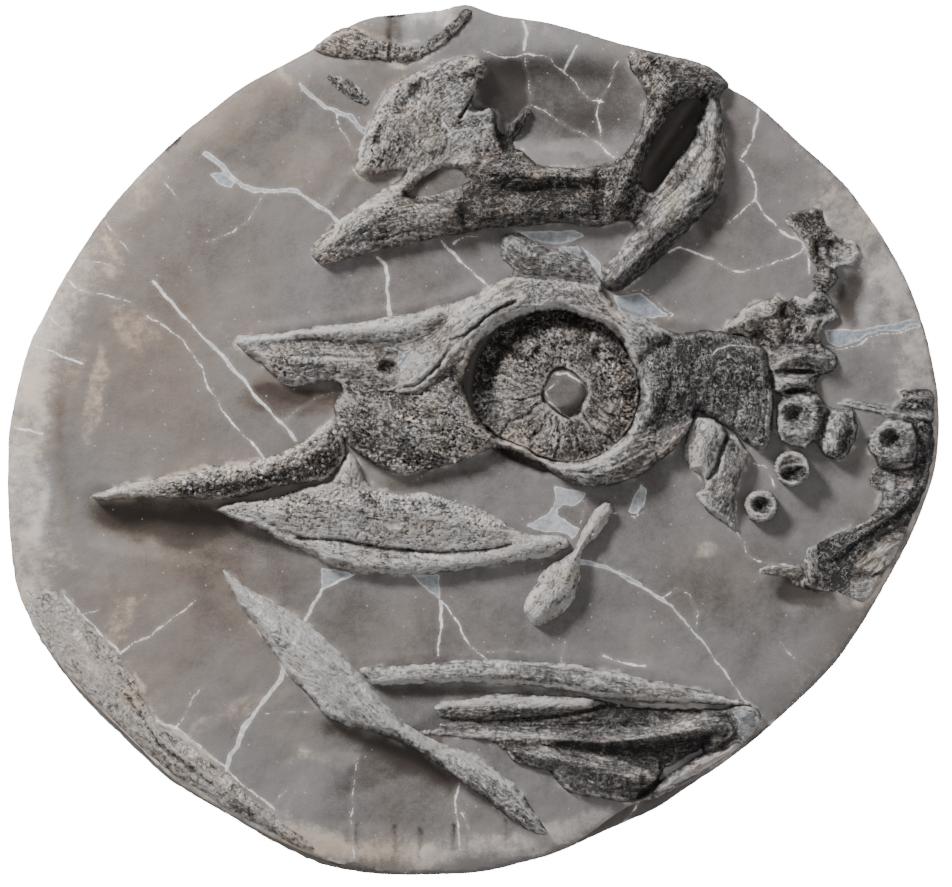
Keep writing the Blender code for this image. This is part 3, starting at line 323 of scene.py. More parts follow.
# Furrows (below zero) and ridges cut into a bone: height, half-width in picture units, route
CARVING = {
    "nasal": [(-0.4, 1.6, [(300, 340), (310, 339), (350, 342), (400, 342)])],
    "premaxilla": [(-0.5, 1.6, [(300, 354), (345, 356), (372, 357)]), (0.5, 4.0, [(250, 352), (285, 357),
        (330, 364)])],
    "prefrontal": [(-1.3, 1.8, [(452, 340), (465, 335), (475, 327), (485, 318), (495, 311), (505, 306),
        (515, 302)]), (-1.0, 2.2, [(399, 388), (414, 386), (426, 378), (438, 366), (446, 354),
        (451, 346)])],
    "postfrontal": [(-0.5, 2.0, [(560, 304), (590, 304), (610, 316), (630, 336)])],
    "postorbital": [(-0.8, 3.0, [(668, 345), (672, 380), (664, 410)]), (1.2, 4.0, [(700, 398), (706, 380),
        (722, 368), (738, 372)]), (-0.5, 1.4, [(757, 376), (758, 404), (765, 436)])],
    "jugal": [(-0.8, 1.8, [(560, 470), (590, 472), (620, 462), (648, 446)]), (-0.7, 1.6, [(541, 463),
        (568, 480), (600, 484), (628, 476)])],
    "quadrate_rear": [(-2.2, 2.6, [(728, 436), (719, 456), (714, 472), (702, 486)])],
    "quadratojugal": [(-1.0, 1.6, [(668, 450), (684, 436), (690, 426)])],
    "upper_snout": [(-1.6, 3.0, [(405, 194), (420, 202), (436, 202)]), (-0.5, 4.0, [(340, 246), (380, 238),
        (430, 228)])],
    "upper_orbit_bar": [(-0.4, 2.5, [(480, 222), (520, 220), (590, 216)]), (-0.9, 3.5, [(506, 188),
        (520, 193), (548, 184), (574, 187)])],
    "temporal_bar": [(-1.4, 5.0, [(716, 130), (716, 172), (702, 196), (676, 216), (648, 240), (614, 270)]),
        (-0.5, 2.0, [(706, 120), (704, 150), (684, 176), (660, 204), (648, 232)])],
    "upper_cheek_plate": [(-1.6, 4.5, [(420, 84), (410, 96), (402, 110)]), (-1.8, 3.5, [(380, 128),
        (377, 142)]), (-2.0, 1.6, [(474, 96), (466, 108), (460, 118)])],
    "jaw_blade": [(-1.6, 2.0, [(296, 538), (338, 540), (385, 549), (441, 553), (487, 550), (512, 544)]),
        (-0.7, 2.0, [(262, 520), (280, 529), (298, 536)])],
    "bundle_upper": [(-1.6, 3.0, [(436, 720), (500, 722), (560, 716), (600, 708), (630, 706), (700, 712)]),
        (1.6, 5.0, [(430, 706), (500, 702), (590, 700)]), (1.4, 6.0, [(545, 722), (590, 716),
        (620, 718)])],
    "bundle_outer": [(1.2, 4.0, [(660, 790), (690, 772), (720, 757), (735, 748)]), (-2.6, 3.5, [(632, 800),
        (650, 788), (665, 775), (680, 765), (700, 752), (706, 735)])],
    "rim_crescent": [(-2.0, 2.0, [(390, 46), (389, 56), (392, 64)])],
    "rim_bone_left": [(-1.4, 3.0, [(130, 700), (160, 745), (210, 784)])],
}

# Cups of the vertebrae: bone, x, y, half-length, half-width, depth, height of the rim
CUPS = (
    ("centrum_1", 790, 413, 9, 8, 0.9, 0.6), ("centrum_2", 795, 475, 14, 8, 1.6, 1.0),
    ("centrum_3", 761, 505, 9, 7, 0.7, 0.7), ("centrum_4", 888, 438, 9, 8, 0.5, 0.4),
    ("neck_socket", 827, 244, 6, 5, 0.7, 0.3), ("arch_tripod", 785, 311, 5, 8, 2.2, 0.4),
    ("neural_arch_1", 800, 330, 5, 4, 1.2, 0.3), ("neural_arch_3", 800, 372, 14, 3, 1.2, 0.3),
    ("rib_head", 795, 391, 10, 3, 1.0, 0.3), ("premaxilla", 388, 367, 10, 7, 2.4, 0.3),
    ("upper_orbit_rear", 655, 70, 8, 6, 0.8, 0.3),
)

# Ridges and furrows of the matrix: height, half-width, route
GROUND_LINES = (
    (0.9, 2.5, [(478, 103), (488, 108), (497, 112), (499, 122), (496, 135), (500, 147)]),
    (0.8, 3.0, [(540, 82), (552, 96), (556, 112)]),
    (0.5, 2.0, [(600, 225), (618, 232), (632, 246), (645, 262)]),
    (-1.4, 2.2, [(391, 10), (390, 30), (391, 60)]), (-1.2, 7.0, [(401, 22), (402, 52)]),
    (0.9, 9.0, [(418, 14), (436, 12), (446, 18)]), (-0.8, 1.2, [(357, 826), (358, 848)]),
    (-0.8, 1.2, [(395, 828), (394, 852)]), (-0.8, 1.2, [(420, 832), (421, 856)]),
    (-0.8, 1.2, [(455, 826), (454, 846)]), (-0.8, 1.2, [(505, 822), (504, 846)]),
    (-0.8, 1.2, [(512, 830), (513, 850)]), (0.6, 8.0, [(848, 580), (862, 586)]),
    (0.6, 6.0, [(262, 330), (320, 321), (380, 313), (430, 303), (474, 290)]),
    (0.6, 6.0, [(380, 164), (352, 176), (330, 205)]), (0.6, 6.0, [(620, 300), (660, 320), (700, 324)]),
    (0.4, 6.0, [(366, 660), (440, 654), (540, 654), (640, 668), (720, 688)]),
    (0.5, 2.0, [(600, 560), (616, 572), (640, 580)]),
)

# Rough patches of a group's surface: group, amount, half-width, route
ROUGH_PATCHES = (
    ("lower_jaw_blade", 0.60, 13, [(256, 506), (330, 498), (420, 504), (500, 524)]),
    ("upper_jaw_bar", 0.40, 12, [(190, 480), (240, 476), (290, 468), (330, 445)]),
    ("main_skull", 0.45, 22, [(706, 352), (744, 372), (752, 420)]),
    ("main_skull", 0.40, 12, [(350, 452), (400, 466), (470, 452), (490, 400)]),
    ("eye_ring", 0.60, 26, [(500, 352), (560, 335), (612, 356), (622, 400)]),
    ("upper_skull", 0.40, 14, [(372, 160), (400, 96), (470, 66)]),
    ("upper_skull", 0.35, 12, [(516, 160), (560, 174), (620, 170)]),
    ("top_rim_bone", 0.40, 16, [(318, 50), (360, 44), (400, 56)]),
    ("slanting_blade", 0.30, 9, [(410, 744), (470, 780), (535, 828)]),
)

# Groups whose left end sinks into the matrix: where it is lowest and where it is whole
FADES = (("lower_bundle", 425, 570),)

# Tone of the matrix along lines, from real cracks, stains and the pale weathered rim, and painted shade
# under the bones, in the trough and round the inside of the orbit: change of tone, change of warmth,
# half-width, route
GROUND_TONES_AND_PAINTED_SHADE = (
    (-0.22, 0.5, 9, [(262, 386), (300, 398), (332, 398)]),
    (-0.30, 0.6, 14, [(110, 512), (160, 520), (220, 520)]), (-0.16, 0.4, 18, [(180, 545), (230, 560)]),
    (-0.26, 0.5, 9, [(330, 728), (372, 744), (410, 762), (450, 784)]),
    (-0.14, 0.3, 8, [(380, 486), (430, 482), (480, 470)]),
    (-0.20, 0.2, 6, [(366, 691), (480, 692), (560, 698)]), (-0.30, 0.1, 2, [(357, 824), (358, 852)]),
    (-0.30, 0.1, 2, [(395, 826), (394, 856)]), (-0.30, 0.1, 2, [(420, 830), (421, 858)]),
    (-0.30, 0.1, 2, [(455, 824), (454, 848)]), (-0.30, 0.1, 2, [(505, 820), (504, 848)]),
    (0.34, 0.15, 13, [(296, 842), (340, 850), (380, 850), (425, 856)]),
    (0.34, 0.0, 14, [(430, 856), (470, 842), (530, 840), (600, 818)]),
    (0.16, 0.3, 8, [(300, 838), (340, 846)]), (-0.45, 0.3, 3, [(391, 12), (390, 30), (391, 60)]),
    (-0.25, 0.1, 9, [(402, 24), (403, 50)]), (0.30, 0.1, 12, [(412, 16), (440, 12)]),
    (-0.14, 0.8, 12, [(318, 40), (350, 30), (380, 34)]),
    (0.22, 0.0, 3, [(478, 103), (488, 108), (497, 112), (499, 122), (496, 135), (500, 147)]),
    (-0.40, 0.0, 12, [(486, 74), (494, 96), (510, 104)]),
    (-0.22, -0.1, 34, [(510, 100), (560, 116), (604, 120)]),
    (-0.14, 0.0, 14, [(520, 70), (570, 66), (620, 74)]),
    (-0.60, -0.3, 16, [(694, 112), (676, 146), (654, 178)]),
    (-0.70, 0.1, 11, [(489, 333), (474, 350), (464, 368), (462, 386), (466, 408), (480, 426), (500, 440),
     (525, 452)]),
    (-0.60, 0.2, 10, [(486, 334), (520, 313), (560, 304), (600, 314), (630, 344), (642, 380)]),
    (-0.30, 0.2, 8, [(412, 182), (430, 172)]), (-0.30, 0.2, 10, [(790, 590), (812, 596), (830, 600)]),
    (-0.10, 0.0, 8, [(820, 380), (846, 382)]), (-0.20, 0.1, 10, [(852, 280), (848, 310)]),
    (-0.12, 0.0, 9, [(826, 470), (852, 468)]), (-0.04, -0.3, 14, [(880, 262), (890, 300), (905, 350)]),
    (0.10, 0.0, 16, [(430, 140), (460, 150)]), (0.16, 0.4, 6, [(60, 596), (66, 640)]),
    (0.12, 0.3, 10, [(232, 706), (300, 744)]), (0.14, 0.6, 8, [(158, 100), (210, 70), (260, 50)]),
    (0.10, 0.7, 12, [(110, 180), (150, 130)]), (-0.12, 0.7, 10, [(190, 104), (230, 96), (270, 84)]),
    (0.22, 0.2, 4, [(278, 60), (288, 84)]), (0.20, 0.3, 3, [(104, 230), (112, 250), (120, 262)]),
    (0.20, 0.1, 6, [(28, 380), (42, 410), (38, 450)]), (0.20, 0.0, 5, [(36, 470), (44, 500), (34, 540)]),
    (-0.12, 0.4, 6, [(60, 400), (60, 470), (66, 520)]), (0.08, 0.2, 20, [(60, 560), (120, 600)]),
    (-0.08, 0.2, 24, [(200, 600), (300, 660)]),
)

# Bones that touch in the rock and share one surface: members, outline, openings
GROUPS = {
    "main_skull": (
        ("nasal", "premaxilla", "prefrontal", "postfrontal", "brow_blade", "postorbital", "maxilla",
         "jugal", "quadratojugal"),
        [(236, 344), (237, 338), (243, 335), (276, 333), (313, 326), (351, 323), (384, 317), (414, 312),
         (444, 304), (474, 295), (492, 286), (497, 280), (510, 274), (508, 266), (499, 256), (500, 240),
         (504, 233), (520, 232), (534, 240), (548, 248), (562, 247), (576, 244), (585, 250), (590, 262),
         (597, 272), (603, 282), (604, 292), (616, 304), (642, 315), (664, 328), (679, 332), (709, 330),
         (731, 333), (745, 336), (760, 344), (768, 356), (771, 380), (774, 402), (773, 424), (770, 440),
         (764, 450), (752, 447), (735, 434), (716, 421), (704, 416), (697, 413), (694, 424), (687, 434),
         (674, 450), (660, 462), (638, 477), (612, 485), (586, 487), (563, 480), (545, 468), (526, 457),
         (504, 449), (489, 450), (474, 457), (459, 462), (440, 468), (422, 473), (407, 476), (388, 472),
         (369, 462), (354, 451), (343, 438), (335, 418), (334, 402), (343, 391), (337, 383), (328, 382),
         (312, 385), (297, 387), (285, 386), (275, 378), (257, 362), (244, 352)],
        [[(469, 360), (465, 374), (464, 385), (469, 403), (480, 419), (496, 435), (519, 444), (539, 455),
         (560, 461), (586, 459), (604, 451), (618, 440), (629, 428), (636, 410), (639, 394), (637, 378),
         (632, 363), (623, 347), (614, 334), (600, 324), (578, 316), (560, 311), (539, 312), (521, 318),
         (501, 326), (483, 340)]]),
    "eye_ring": (
        ("sclerotic_ring",),
        [(467, 362), (463, 385), (468, 405), (480, 421), (496, 437), (519, 446), (539, 457), (560, 463),
         (586, 461), (606, 453), (620, 442), (631, 428), (638, 410), (641, 394), (639, 378), (634, 362),
         (624, 345), (615, 332), (600, 322), (578, 314), (560, 309), (539, 310), (520, 316), (499, 324),
         (481, 339)],
        [[(556, 368), (563, 367), (572, 372), (581, 380), (587, 387), (588, 394), (583, 403), (580, 410),
         (575, 416), (567, 418), (558, 413), (550, 405), (543, 398), (544, 388), (548, 378), (552, 371)]]),
    "upper_skull": (
        ("upper_cheek_plate", "upper_snout", "upper_orbit_bar", "upper_orbit_rear", "temporal_bar",
         "upper_splinter"),
        [(310, 248), (322, 234), (341, 219), (360, 204), (379, 191), (397, 180), (404, 173), (394, 171),
         (375, 176), (361, 178), (354, 169), (356, 158), (360, 143), (369, 124), (379, 101), (390, 86),
         (409, 75), (428, 69), (443, 62), (461, 57), (476, 57), (486, 62), (487, 72), (480, 84), (473, 98),
         (474, 109), (488, 107), (496, 114), (499, 128), (506, 133), (509, 124), (518, 116), (527, 107),
         (531, 111), (522, 128), (515, 144), (523, 151), (533, 161), (544, 165), (563, 167), (581, 167),
         (600, 164), (615, 159), (630, 146), (638, 131), (643, 113), (646, 98), (640, 83), (630, 68),
         (628, 56), (638, 49), (653, 51), (675, 56), (698, 62), (717, 71), (729, 84), (721, 95),
         (722, 108), (725, 124), (726, 150), (724, 180), (717, 199), (698, 221), (675, 244), (653, 266),
         (630, 285), (615, 292), (603, 287), (600, 270), (611, 259), (626, 242), (636, 230), (626, 221),
         (608, 226), (585, 227), (559, 223), (525, 227), (488, 229), (461, 235), (439, 238), (413, 244),
         (383, 250), (356, 257), (334, 263), (317, 263)],
        [[(411, 194), (418, 183), (432, 173), (446, 168), (461, 171), (464, 181), (455, 188), (440, 192),
         (425, 196)], [(678, 106), (690, 100), (700, 101), (701, 112), (696, 124), (694, 136), (684, 152),
         (674, 163), (664, 178), (652, 190), (644, 187), (641, 172), (648, 156), (654, 138), (666, 122)]]),
    "neck_column": (
        ("neck_socket", "neck_spur", "neck_knob", "neural_arch_1", "neural_arch_2", "neural_arch_3",
         "arch_tripod", "rib_head", "centrum_1", "centrum_side"),
        [(724, 328), (730, 320), (741, 310), (758, 301), (777, 296), (787, 300), (795, 295), (806, 298),
         (812, 288), (811, 278), (815, 269), (808, 259), (804, 246), (795, 233), (787, 224), (786, 214),
         (800, 209), (821, 208), (827, 222), (840, 233), (855, 242), (860, 254), (852, 266), (838, 268),
         (839, 280), (829, 291), (833, 303), (839, 318), (825, 326), (824, 343), (837, 355), (836, 370),
         (820, 377), (818, 388), (822, 400), (834, 407), (854, 409), (858, 427), (852, 448), (842, 460),
         (824, 455), (815, 443), (804, 448), (783, 443), (776, 428), (777, 406), (781, 397), (773, 391),
         (769, 375), (764, 362), (766, 349), (753, 347), (741, 336), (730, 336)],
        []),
    "neck_base": (
        ("quadrate_front", "quadrate_rear"),
        [(695, 416), (708, 417), (722, 424), (728, 432), (736, 434), (744, 444), (750, 454), (745, 470),
         (738, 486), (735, 504), (736, 531), (722, 522), (707, 511), (696, 495), (703, 484), (699, 474),
         (690, 469), (683, 452), (686, 436)],
        []),
    "right_rim_bones": (
        ("rim_rib", "rim_stub", "rim_arc", "rim_lobe", "rim_plate", "pale_mound", "small_splinter",
         "centrum_4"),
        [(836, 402), (858, 400), (892, 406), (901, 397), (897, 391), (912, 388), (928, 388), (935, 394),
         (936, 414), (936, 448), (932, 469), (926, 490), (914, 519), (900, 549), (888, 572), (876, 592),
         (862, 604), (846, 598), (830, 594), (812, 590), (795, 588), (785, 578), (762, 575), (760, 568),
         (779, 564), (800, 562), (806, 546), (816, 543), (829, 536), (848, 528), (864, 519), (876, 506),
         (880, 494), (868, 484), (870, 470), (877, 463), (869, 452), (867, 438), (876, 427), (884, 418),
         (867, 412), (838, 406)],
        []),
    "lower_bundle": (
        ("bundle_upper", "bundle_middle", "bundle_lower", "bundle_outer", "bundle_knob"),
        [(434, 706), (446, 699), (470, 698), (500, 692), (540, 694), (580, 696), (610, 701), (650, 706),
         (700, 708), (722, 707), (740, 704), (755, 707), (761, 716), (758, 730), (746, 742), (734, 752),
         (720, 762), (704, 772), (688, 782), (670, 792), (653, 799), (638, 802), (622, 803), (600, 799),
         (582, 797), (566, 791), (556, 782), (548, 772), (530, 768), (514, 762), (500, 750), (490, 742),
         (462, 739), (434, 737), (412, 733), (424, 728), (438, 726), (436, 716)],
        []),
    "slanting_blade": (
        ("diagonal_blade",),
        [(222, 568), (236, 578), (250, 589), (268, 598), (285, 608), (298, 616), (312, 627), (336, 648),
         (359, 672), (382, 700), (405, 722), (433, 739), (471, 754), (498, 771), (518, 787), (530, 806),
         (543, 824), (548, 834), (533, 834), (510, 819), (487, 801), (456, 778), (425, 756), (394, 740),
         (363, 730), (336, 723), (320, 711), (308, 696), (289, 676), (274, 653), (258, 630), (243, 610),
         (235, 596), (227, 581)],
        []),
    "long_rod": (
        ("long_bar",),
        [(360, 669), (380, 666), (420, 664), (440, 661), (480, 659), (500, 659), (540, 661), (580, 665),
         (600, 669), (640, 677), (670, 683), (700, 690), (720, 695), (740, 700), (752, 705), (730, 706),
         (700, 704), (660, 704), (640, 703), (600, 698), (580, 693), (560, 689), (540, 687), (500, 685),
         (480, 683), (440, 683), (400, 685), (380, 686), (368, 682)],
        []),
    "lower_jaw_blade": (
        ("jaw_blade", "jaw_fan"),
        [(216, 508), (237, 501), (267, 499), (289, 492), (304, 486), (326, 482), (334, 474), (341, 461),
         (349, 451), (358, 460), (366, 479), (379, 489), (401, 494), (427, 492), (453, 501), (476, 507),
         (494, 514), (509, 525), (528, 533), (554, 535), (567, 538), (569, 546), (554, 555), (528, 561),
         (491, 567), (453, 572), (416, 575), (379, 574), (349, 570), (326, 564), (308, 553), (282, 542),
         (259, 529), (237, 520), (222, 514)],
        []),
    "upper_jaw_bar": (
        ("dentary",),
        [(91, 496), (102, 491), (125, 484), (155, 478), (188, 473), (211, 465), (240, 464), (267, 457),
         (285, 451), (304, 440), (319, 430), (330, 421), (338, 424), (345, 438), (346, 452), (341, 467),
         (326, 480), (304, 483), (278, 487), (248, 496), (218, 500), (188, 499), (155, 497), (125, 500),
         (102, 501)],
        []),
    "left_rim_bone": (
        ("rim_bone_left",),
        [(24, 590), (45, 586), (62, 590), (72, 600), (85, 616), (104, 637), (120, 653), (134, 674),
         (146, 698), (157, 720), (175, 731), (192, 742), (210, 757), (226, 770), (240, 784), (258, 799),
         (275, 812), (292, 826), (316, 846), (309, 852), (286, 843), (268, 832), (245, 820), (221, 806),
         (198, 792), (171, 774), (148, 755), (129, 737), (111, 719), (92, 700), (69, 677), (53, 658),
         (40, 640), (29, 620)],
        []),
    "top_rim_bone": (
        ("rim_crescent",),
        [(313, 48), (324, 38), (338, 29), (352, 26), (368, 34), (386, 40), (402, 44), (420, 41), (437, 31),
         (451, 20), (461, 9), (470, 8), (474, 13), (462, 30), (447, 44), (428, 57), (410, 67), (390, 65),
         (368, 63), (341, 59), (320, 54)],
        []),
}

# Change of tone on a bone, from its own dark and pale patches, and painted shade and highlight on faces
# turned from or to the light, on the orbit wall and in hollows: amount, half-width in picture units, route
BONE_TONES_AND_PAINTED_SHADE = {
    "temporal_bar": [(-0.50, 13, [(728, 192), (708, 218), (684, 242), (658, 262), (634, 282), (612, 292)]),
        (0.22, 9, [(712, 120), (710, 150), (700, 180), (676, 200), (650, 226), (624, 250)])],
    "upper_orbit_rear": [(-0.15, 8, [(650, 140), (636, 170), (628, 190)])],
    "upper_orbit_bar": [(0.16, 3, [(460, 158), (520, 163), (600, 168)]), (-0.20, 4, [(500, 188),
        (520, 193), (548, 184), (576, 187)])],
    "upper_snout": [(0.22, 8, [(330, 240), (355, 212), (392, 188)]), (-0.16, 7, [(350, 250), (420, 234),
        (470, 228)])],
    "upper_cheek_plate": [(-0.20, 6, [(420, 83), (409, 97), (400, 110)]), (-0.2, 5, [(380, 128),
        (376, 143)]), (0.14, 16, [(420, 150), (462, 150)]), (-0.16, 20, [(396, 146), (428, 118),
        (452, 96)]), (-0.3, 2, [(474, 96), (460, 118)]), (-0.14, 12, [(385, 150), (420, 140)]), (-0.25, 5,
        [(484, 80), (480, 106), (497, 130), (506, 150)])],
    "nasal": [(-0.16, 2, [(300, 341), (350, 344), (400, 344), (420, 340)]), (0.14, 3, [(238, 339),
        (262, 336)])],
    "premaxilla": [(0.16, 3, [(238, 344), (252, 354), (270, 368)]), (-0.16, 6, [(262, 366), (300, 378),
        (330, 380)]), (-0.30, 3, [(376, 352), (398, 352)])],
    "jugal": [(-0.30, 7, [(530, 470), (560, 486), (600, 490), (640, 478), (668, 456)]), (0.25, 5,
        [(508, 440), (540, 458), (566, 466), (600, 460), (630, 440), (646, 412), (646, 380)])],
    "postfrontal": [(0.14, 6, [(600, 300), (636, 330), (646, 360)])],
    "sclerotic_ring": [(-0.20, 7, [(470, 372), (468, 392), (476, 412), (494, 432)])],
    "prefrontal": [(-0.32, 4, [(486, 337), (471, 360), (466, 385), (471, 404), (482, 421)]), (-0.22, 4,
        [(502, 325), (521, 317), (540, 311)]), (-0.30, 3, [(460, 340), (485, 318), (512, 303)]), (-0.2, 5,
        [(452, 372), (462, 392)])],
    "postorbital": [(0.18, 3, [(700, 400), (712, 384), (728, 372), (752, 368), (764, 384)]), (0.14, 9,
        [(646, 350), (652, 390), (642, 425)]), (-0.1, 16, [(690, 350), (690, 400)]), (0.25, 8, [(752, 440),
        (768, 440)])],
    "maxilla": [(-0.16, 14, [(350, 430), (400, 460), (460, 458)]), (0.14, 8, [(440, 408), (470, 420)])],
    "dentary": [(-0.40, 13, [(188, 492), (240, 488), (300, 474), (330, 462)]), (0.30, 7, [(96, 496),
        (140, 486), (180, 480)]), (0.2, 4, [(240, 466), (290, 448), (325, 426)])],
    "jaw_blade": [(-0.28, 4, [(300, 539), (360, 545), (420, 553), (487, 551)]), (-0.14, 12, [(300, 502),
        (400, 503), (480, 520)])],
    "diagonal_blade": [(-0.50, 13, [(396, 744), (440, 766), (480, 794), (535, 834)]), (-0.36, 7,
        [(300, 694), (322, 718), (350, 730), (390, 742)]), (0.10, 30, [(260, 620), (300, 650),
        (340, 690)]), (0.12, 6, [(300, 620), (350, 670), (396, 720), (440, 748), (500, 778)])],
    "long_bar": [(-0.16, 10, [(520, 672), (600, 684), (660, 692), (740, 704)]), (0.26, 2.0, [(366, 684),
        (440, 681), (520, 682), (600, 694), (700, 700)])],
    "bundle_upper": [(-0.34, 7, [(440, 716), (500, 718), (560, 717), (600, 712), (640, 712)]), (0.18, 9,
        [(440, 704), (500, 700), (590, 700)]), (-0.3, 7, [(600, 706), (660, 706), (720, 708)])],
    "bundle_middle": [(-0.46, 9, [(560, 744), (600, 746), (650, 749), (690, 744), (708, 734)]), (0.20, 5,
        [(430, 731), (500, 733), (620, 733), (690, 720)])],
    "bundle_lower": [(0.30, 3, [(540, 748), (578, 751), (624, 763), (656, 779)]), (-0.25, 8, [(560, 764),
        (600, 778), (640, 788)]), (-0.25, 16, [(520, 756), (545, 775), (560, 792)])],
    "bundle_outer": [(0.2, 6, [(660, 790), (690, 772), (735, 750)]), (-0.50, 6, [(632, 802), (665, 778),
        (700, 752), (710, 732)])],
    "bundle_knob": [(0.1, 8, [(745, 722), (746, 736)])],
    "rim_plate": [(0.30, 12, [(866, 568), (880, 560), (894, 546)]), (0.40, 9, [(846, 592), (866, 590),
        (880, 582)]), (-0.4, 3, [(858, 574), (880, 574), (896, 564)])],
    "rim_arc": [(-0.25, 11, [(824, 546), (838, 556), (848, 572)]), (-0.40, 9, [(936, 430), (930, 480),
        (906, 512), (880, 534), (858, 554)]), (0.42, 4, [(926, 470), (900, 500), (876, 518), (850, 528)])],
    "rim_crescent": [(-0.34, 6, [(392, 60), (420, 52), (444, 34), (468, 10)]), (0.2, 8, [(330, 36),
        (352, 32)])],
    "rim_bone_left": [(0.20, 14, [(30, 596), (70, 640), (110, 690)]), (-0.16, 8, [(100, 710), (160, 764),
        (230, 806)]), (-0.2, 7, [(240, 806), (300, 846)])],
    "centrum_side": [(-0.45, 6, [(850, 420), (846, 442), (834, 458), (820, 454)]), (0.14, 6, [(826, 414),
        (842, 414)])],
    "centrum_1": [(-0.3, 7, [(788, 411), (792, 415)]), (-0.3, 4, [(818, 400), (815, 440)])],
    "centrum_2": [(-0.45, 6, [(786, 474), (804, 474)])],
    "centrum_3": [(-0.45, 5, [(760, 504), (762, 507)])],
    "centrum_4": [(-0.25, 8, [(888, 438), (891, 441)]), (-0.3, 5, [(886, 464), (905, 460), (916, 444)])],
    "arch_tripod": [(-0.4, 7, [(784, 306), (786, 316)]), (0.2, 3, [(724, 328), (745, 312), (772, 302)])],
    "neural_arch_1": [(-0.3, 4, [(798, 322), (800, 334)])],
    "neural_arch_2": [(-0.3, 4, [(790, 350), (820, 352)])],
    "neural_arch_3": [(-0.35, 4, [(776, 374), (810, 376), (828, 372)])],
    "rib_head": [(-0.35, 4, [(784, 392), (806, 390)])],
    "neck_socket": [(-0.3, 5, [(825, 242), (828, 247)]), (0.2, 8, [(848, 248), (846, 256)])],
    "quadrate_rear": [(-0.30, 7, [(732, 448), (730, 478), (724, 508)]), (0.30, 3, [(724, 446), (720, 462),
        (718, 474)]), (0.16, 7, [(704, 500), (722, 522)])],
    "quadrate_front": [(-0.2, 4, [(728, 430), (716, 470), (712, 490)])],
}


def plan_metres(x, y):
    """Picture units to metres, for numbers or arrays."""
    return (x - CENTRE_X) * UNIT, (CENTRE_Y - y) * UNIT


def picture_units(x, y):
    """Metres to picture units, for numbers or arrays."""
    return x / UNIT + CENTRE_X, CENTRE_Y - y / UNIT


def lattice_hash(column, row, seed):
    """Repeatable numbers from 0 to 1 for the points of a lattice."""
    value = column.astype(np.uint32) * np.uint32(374761393) + row.astype(np.uint32) * np.uint32(668265263)
    value = value + np.uint32((seed * 974634777) & 0xFFFFFFFF)
    value ^= value >> np.uint32(13)
    value = value * np.uint32(1274126177)
    value ^= value >> np.uint32(16)
    return (value & np.uint32(0xFFFFFF)).astype(float) / 0xFFFFFF


def value_noise(x, y, seed):
    """Smooth noise from -1 to 1 with a period of about one unit."""
    column = np.floor(x).astype(np.int64)
    row = np.floor(y).astype(np.int64)
    u = x - column
    v = y - row
    u = u * u * u * (u * (u * 6 - 15) + 10)
    v = v * v * v * (v * (v * 6 - 15) + 10)
    low = lattice_hash(column, row, seed) * (1 - u) + lattice_hash(column + 1, row, seed) * u
    high = lattice_hash(column, row + 1, seed) * (1 - u) + lattice_hash(column + 1, row + 1, seed) * u
    return (low * (1 - v) + high * v) * 2 - 1


def layered_noise(x, y, seed, layers=4, gain=0.5):
    """Octaves of smooth noise, most of it from -1 to 1."""
    total = np.zeros_like(x)
    strength = 1.0
    reach = 0.0
    for layer in range(layers):
        scale = 2.0 ** layer
        total += strength * value_noise(x * scale + layer * 17.3, y * scale - layer * 9.1, seed + layer)
        reach += strength
        strength *= gain
    return total / reach * 1.6


def cell_distance(x, y, seed):
    """Distance to the nearest of one scattered point per unit square."""
    column = np.floor(x).astype(np.int64)
    row = np.floor(y).astype(np.int64)
    nearest = np.full(x.shape, 9.0)
    for step_x in (-1, 0, 1):
        for step_y in (-1, 0, 1):
            cell_x = column + step_x
            cell_y = row + step_y
            point_x = cell_x + lattice_hash(cell_x, cell_y, seed)
            point_y = cell_y + lattice_hash(cell_x, cell_y, seed + 101)
            nearest = np.minimum(nearest, np.hypot(point_x - x, point_y - y))
    return nearest


def line_distance(x, y, line, closed=False):
    """Distance to a line of points, the length along it and the side that each place is on."""
    points = list(line) + ([line[0]] if closed else [])
    best = np.full(x.shape, 1e9)
    along = np.zeros(x.shape)
    side = np.zeros(x.shape)
    start = 0.0
    for (x0, y0), (x1, y1) in zip(points, points[1:]):
        dx = x1 - x0
        dy = y1 - y0
        length = math.hypot(dx, dy)
        share = np.clip(((x - x0) * dx + (y - y0) * dy) / (length * length), 0.0, 1.0)
        distance = np.hypot(x - x0 - share * dx, y - y0 - share * dy)
        nearer = distance < best
        best = np.where(nearer, distance, best)
        along = np.where(nearer, start + share * length, along)
        side = np.where(nearer, np.sign((x - x0) * dy - (y - y0) * dx), side)
        start += length
    return best, along, side


def near_line(x, y, line, half_width):
    """1 on a line, falling softly to 0 past its half-width."""
    return np.exp(-(line_distance(x, y, line)[0] / half_width) ** 2)


def inside(x, y, outline):
    """Whether each place lies inside a closed outline."""
    hit = np.zeros(x.shape, bool)
    for (x0, y0), (x1, y1) in zip(outline, list(outline[1:]) + [outline[0]]):
        if y0 == y1:
            continue
        crosses = (y0 > y) != (y1 > y)
        hit ^= crosses & (x < x0 + (y - y0) * (x1 - x0) / (y1 - y0))
    return hit


def smooth_step(low, high, value):
    """0 at low and 1 at high, with a soft change between them."""
    share = np.clip((value - low) / (high - low), 0.0, 1.0)
    return share * share * (3 - 2 * share)


def smooth_loop(points, step):
    """A closed curve through the points, with one point for each step."""
    count = len(points)
    smooth = []
    for index in range(count):
        before, first, second, after = (points[(index + shift) % count] for shift in (-1, 0, 1, 2))
        pieces = max(1, round(math.dist(first, second) / step))
        for piece in range(pieces):
            t = piece / pieces
            spot = []
            for a, b, c, d in zip(before, first, second, after):
                curve = 2 * b + (c - a) * t + (2 * a - 5 * b + 4 * c - d) * t ** 2
                spot.append(0.5 * (curve + (3 * b - a - 3 * c + d) * t ** 3))
            smooth.append(tuple(spot))
    return smooth


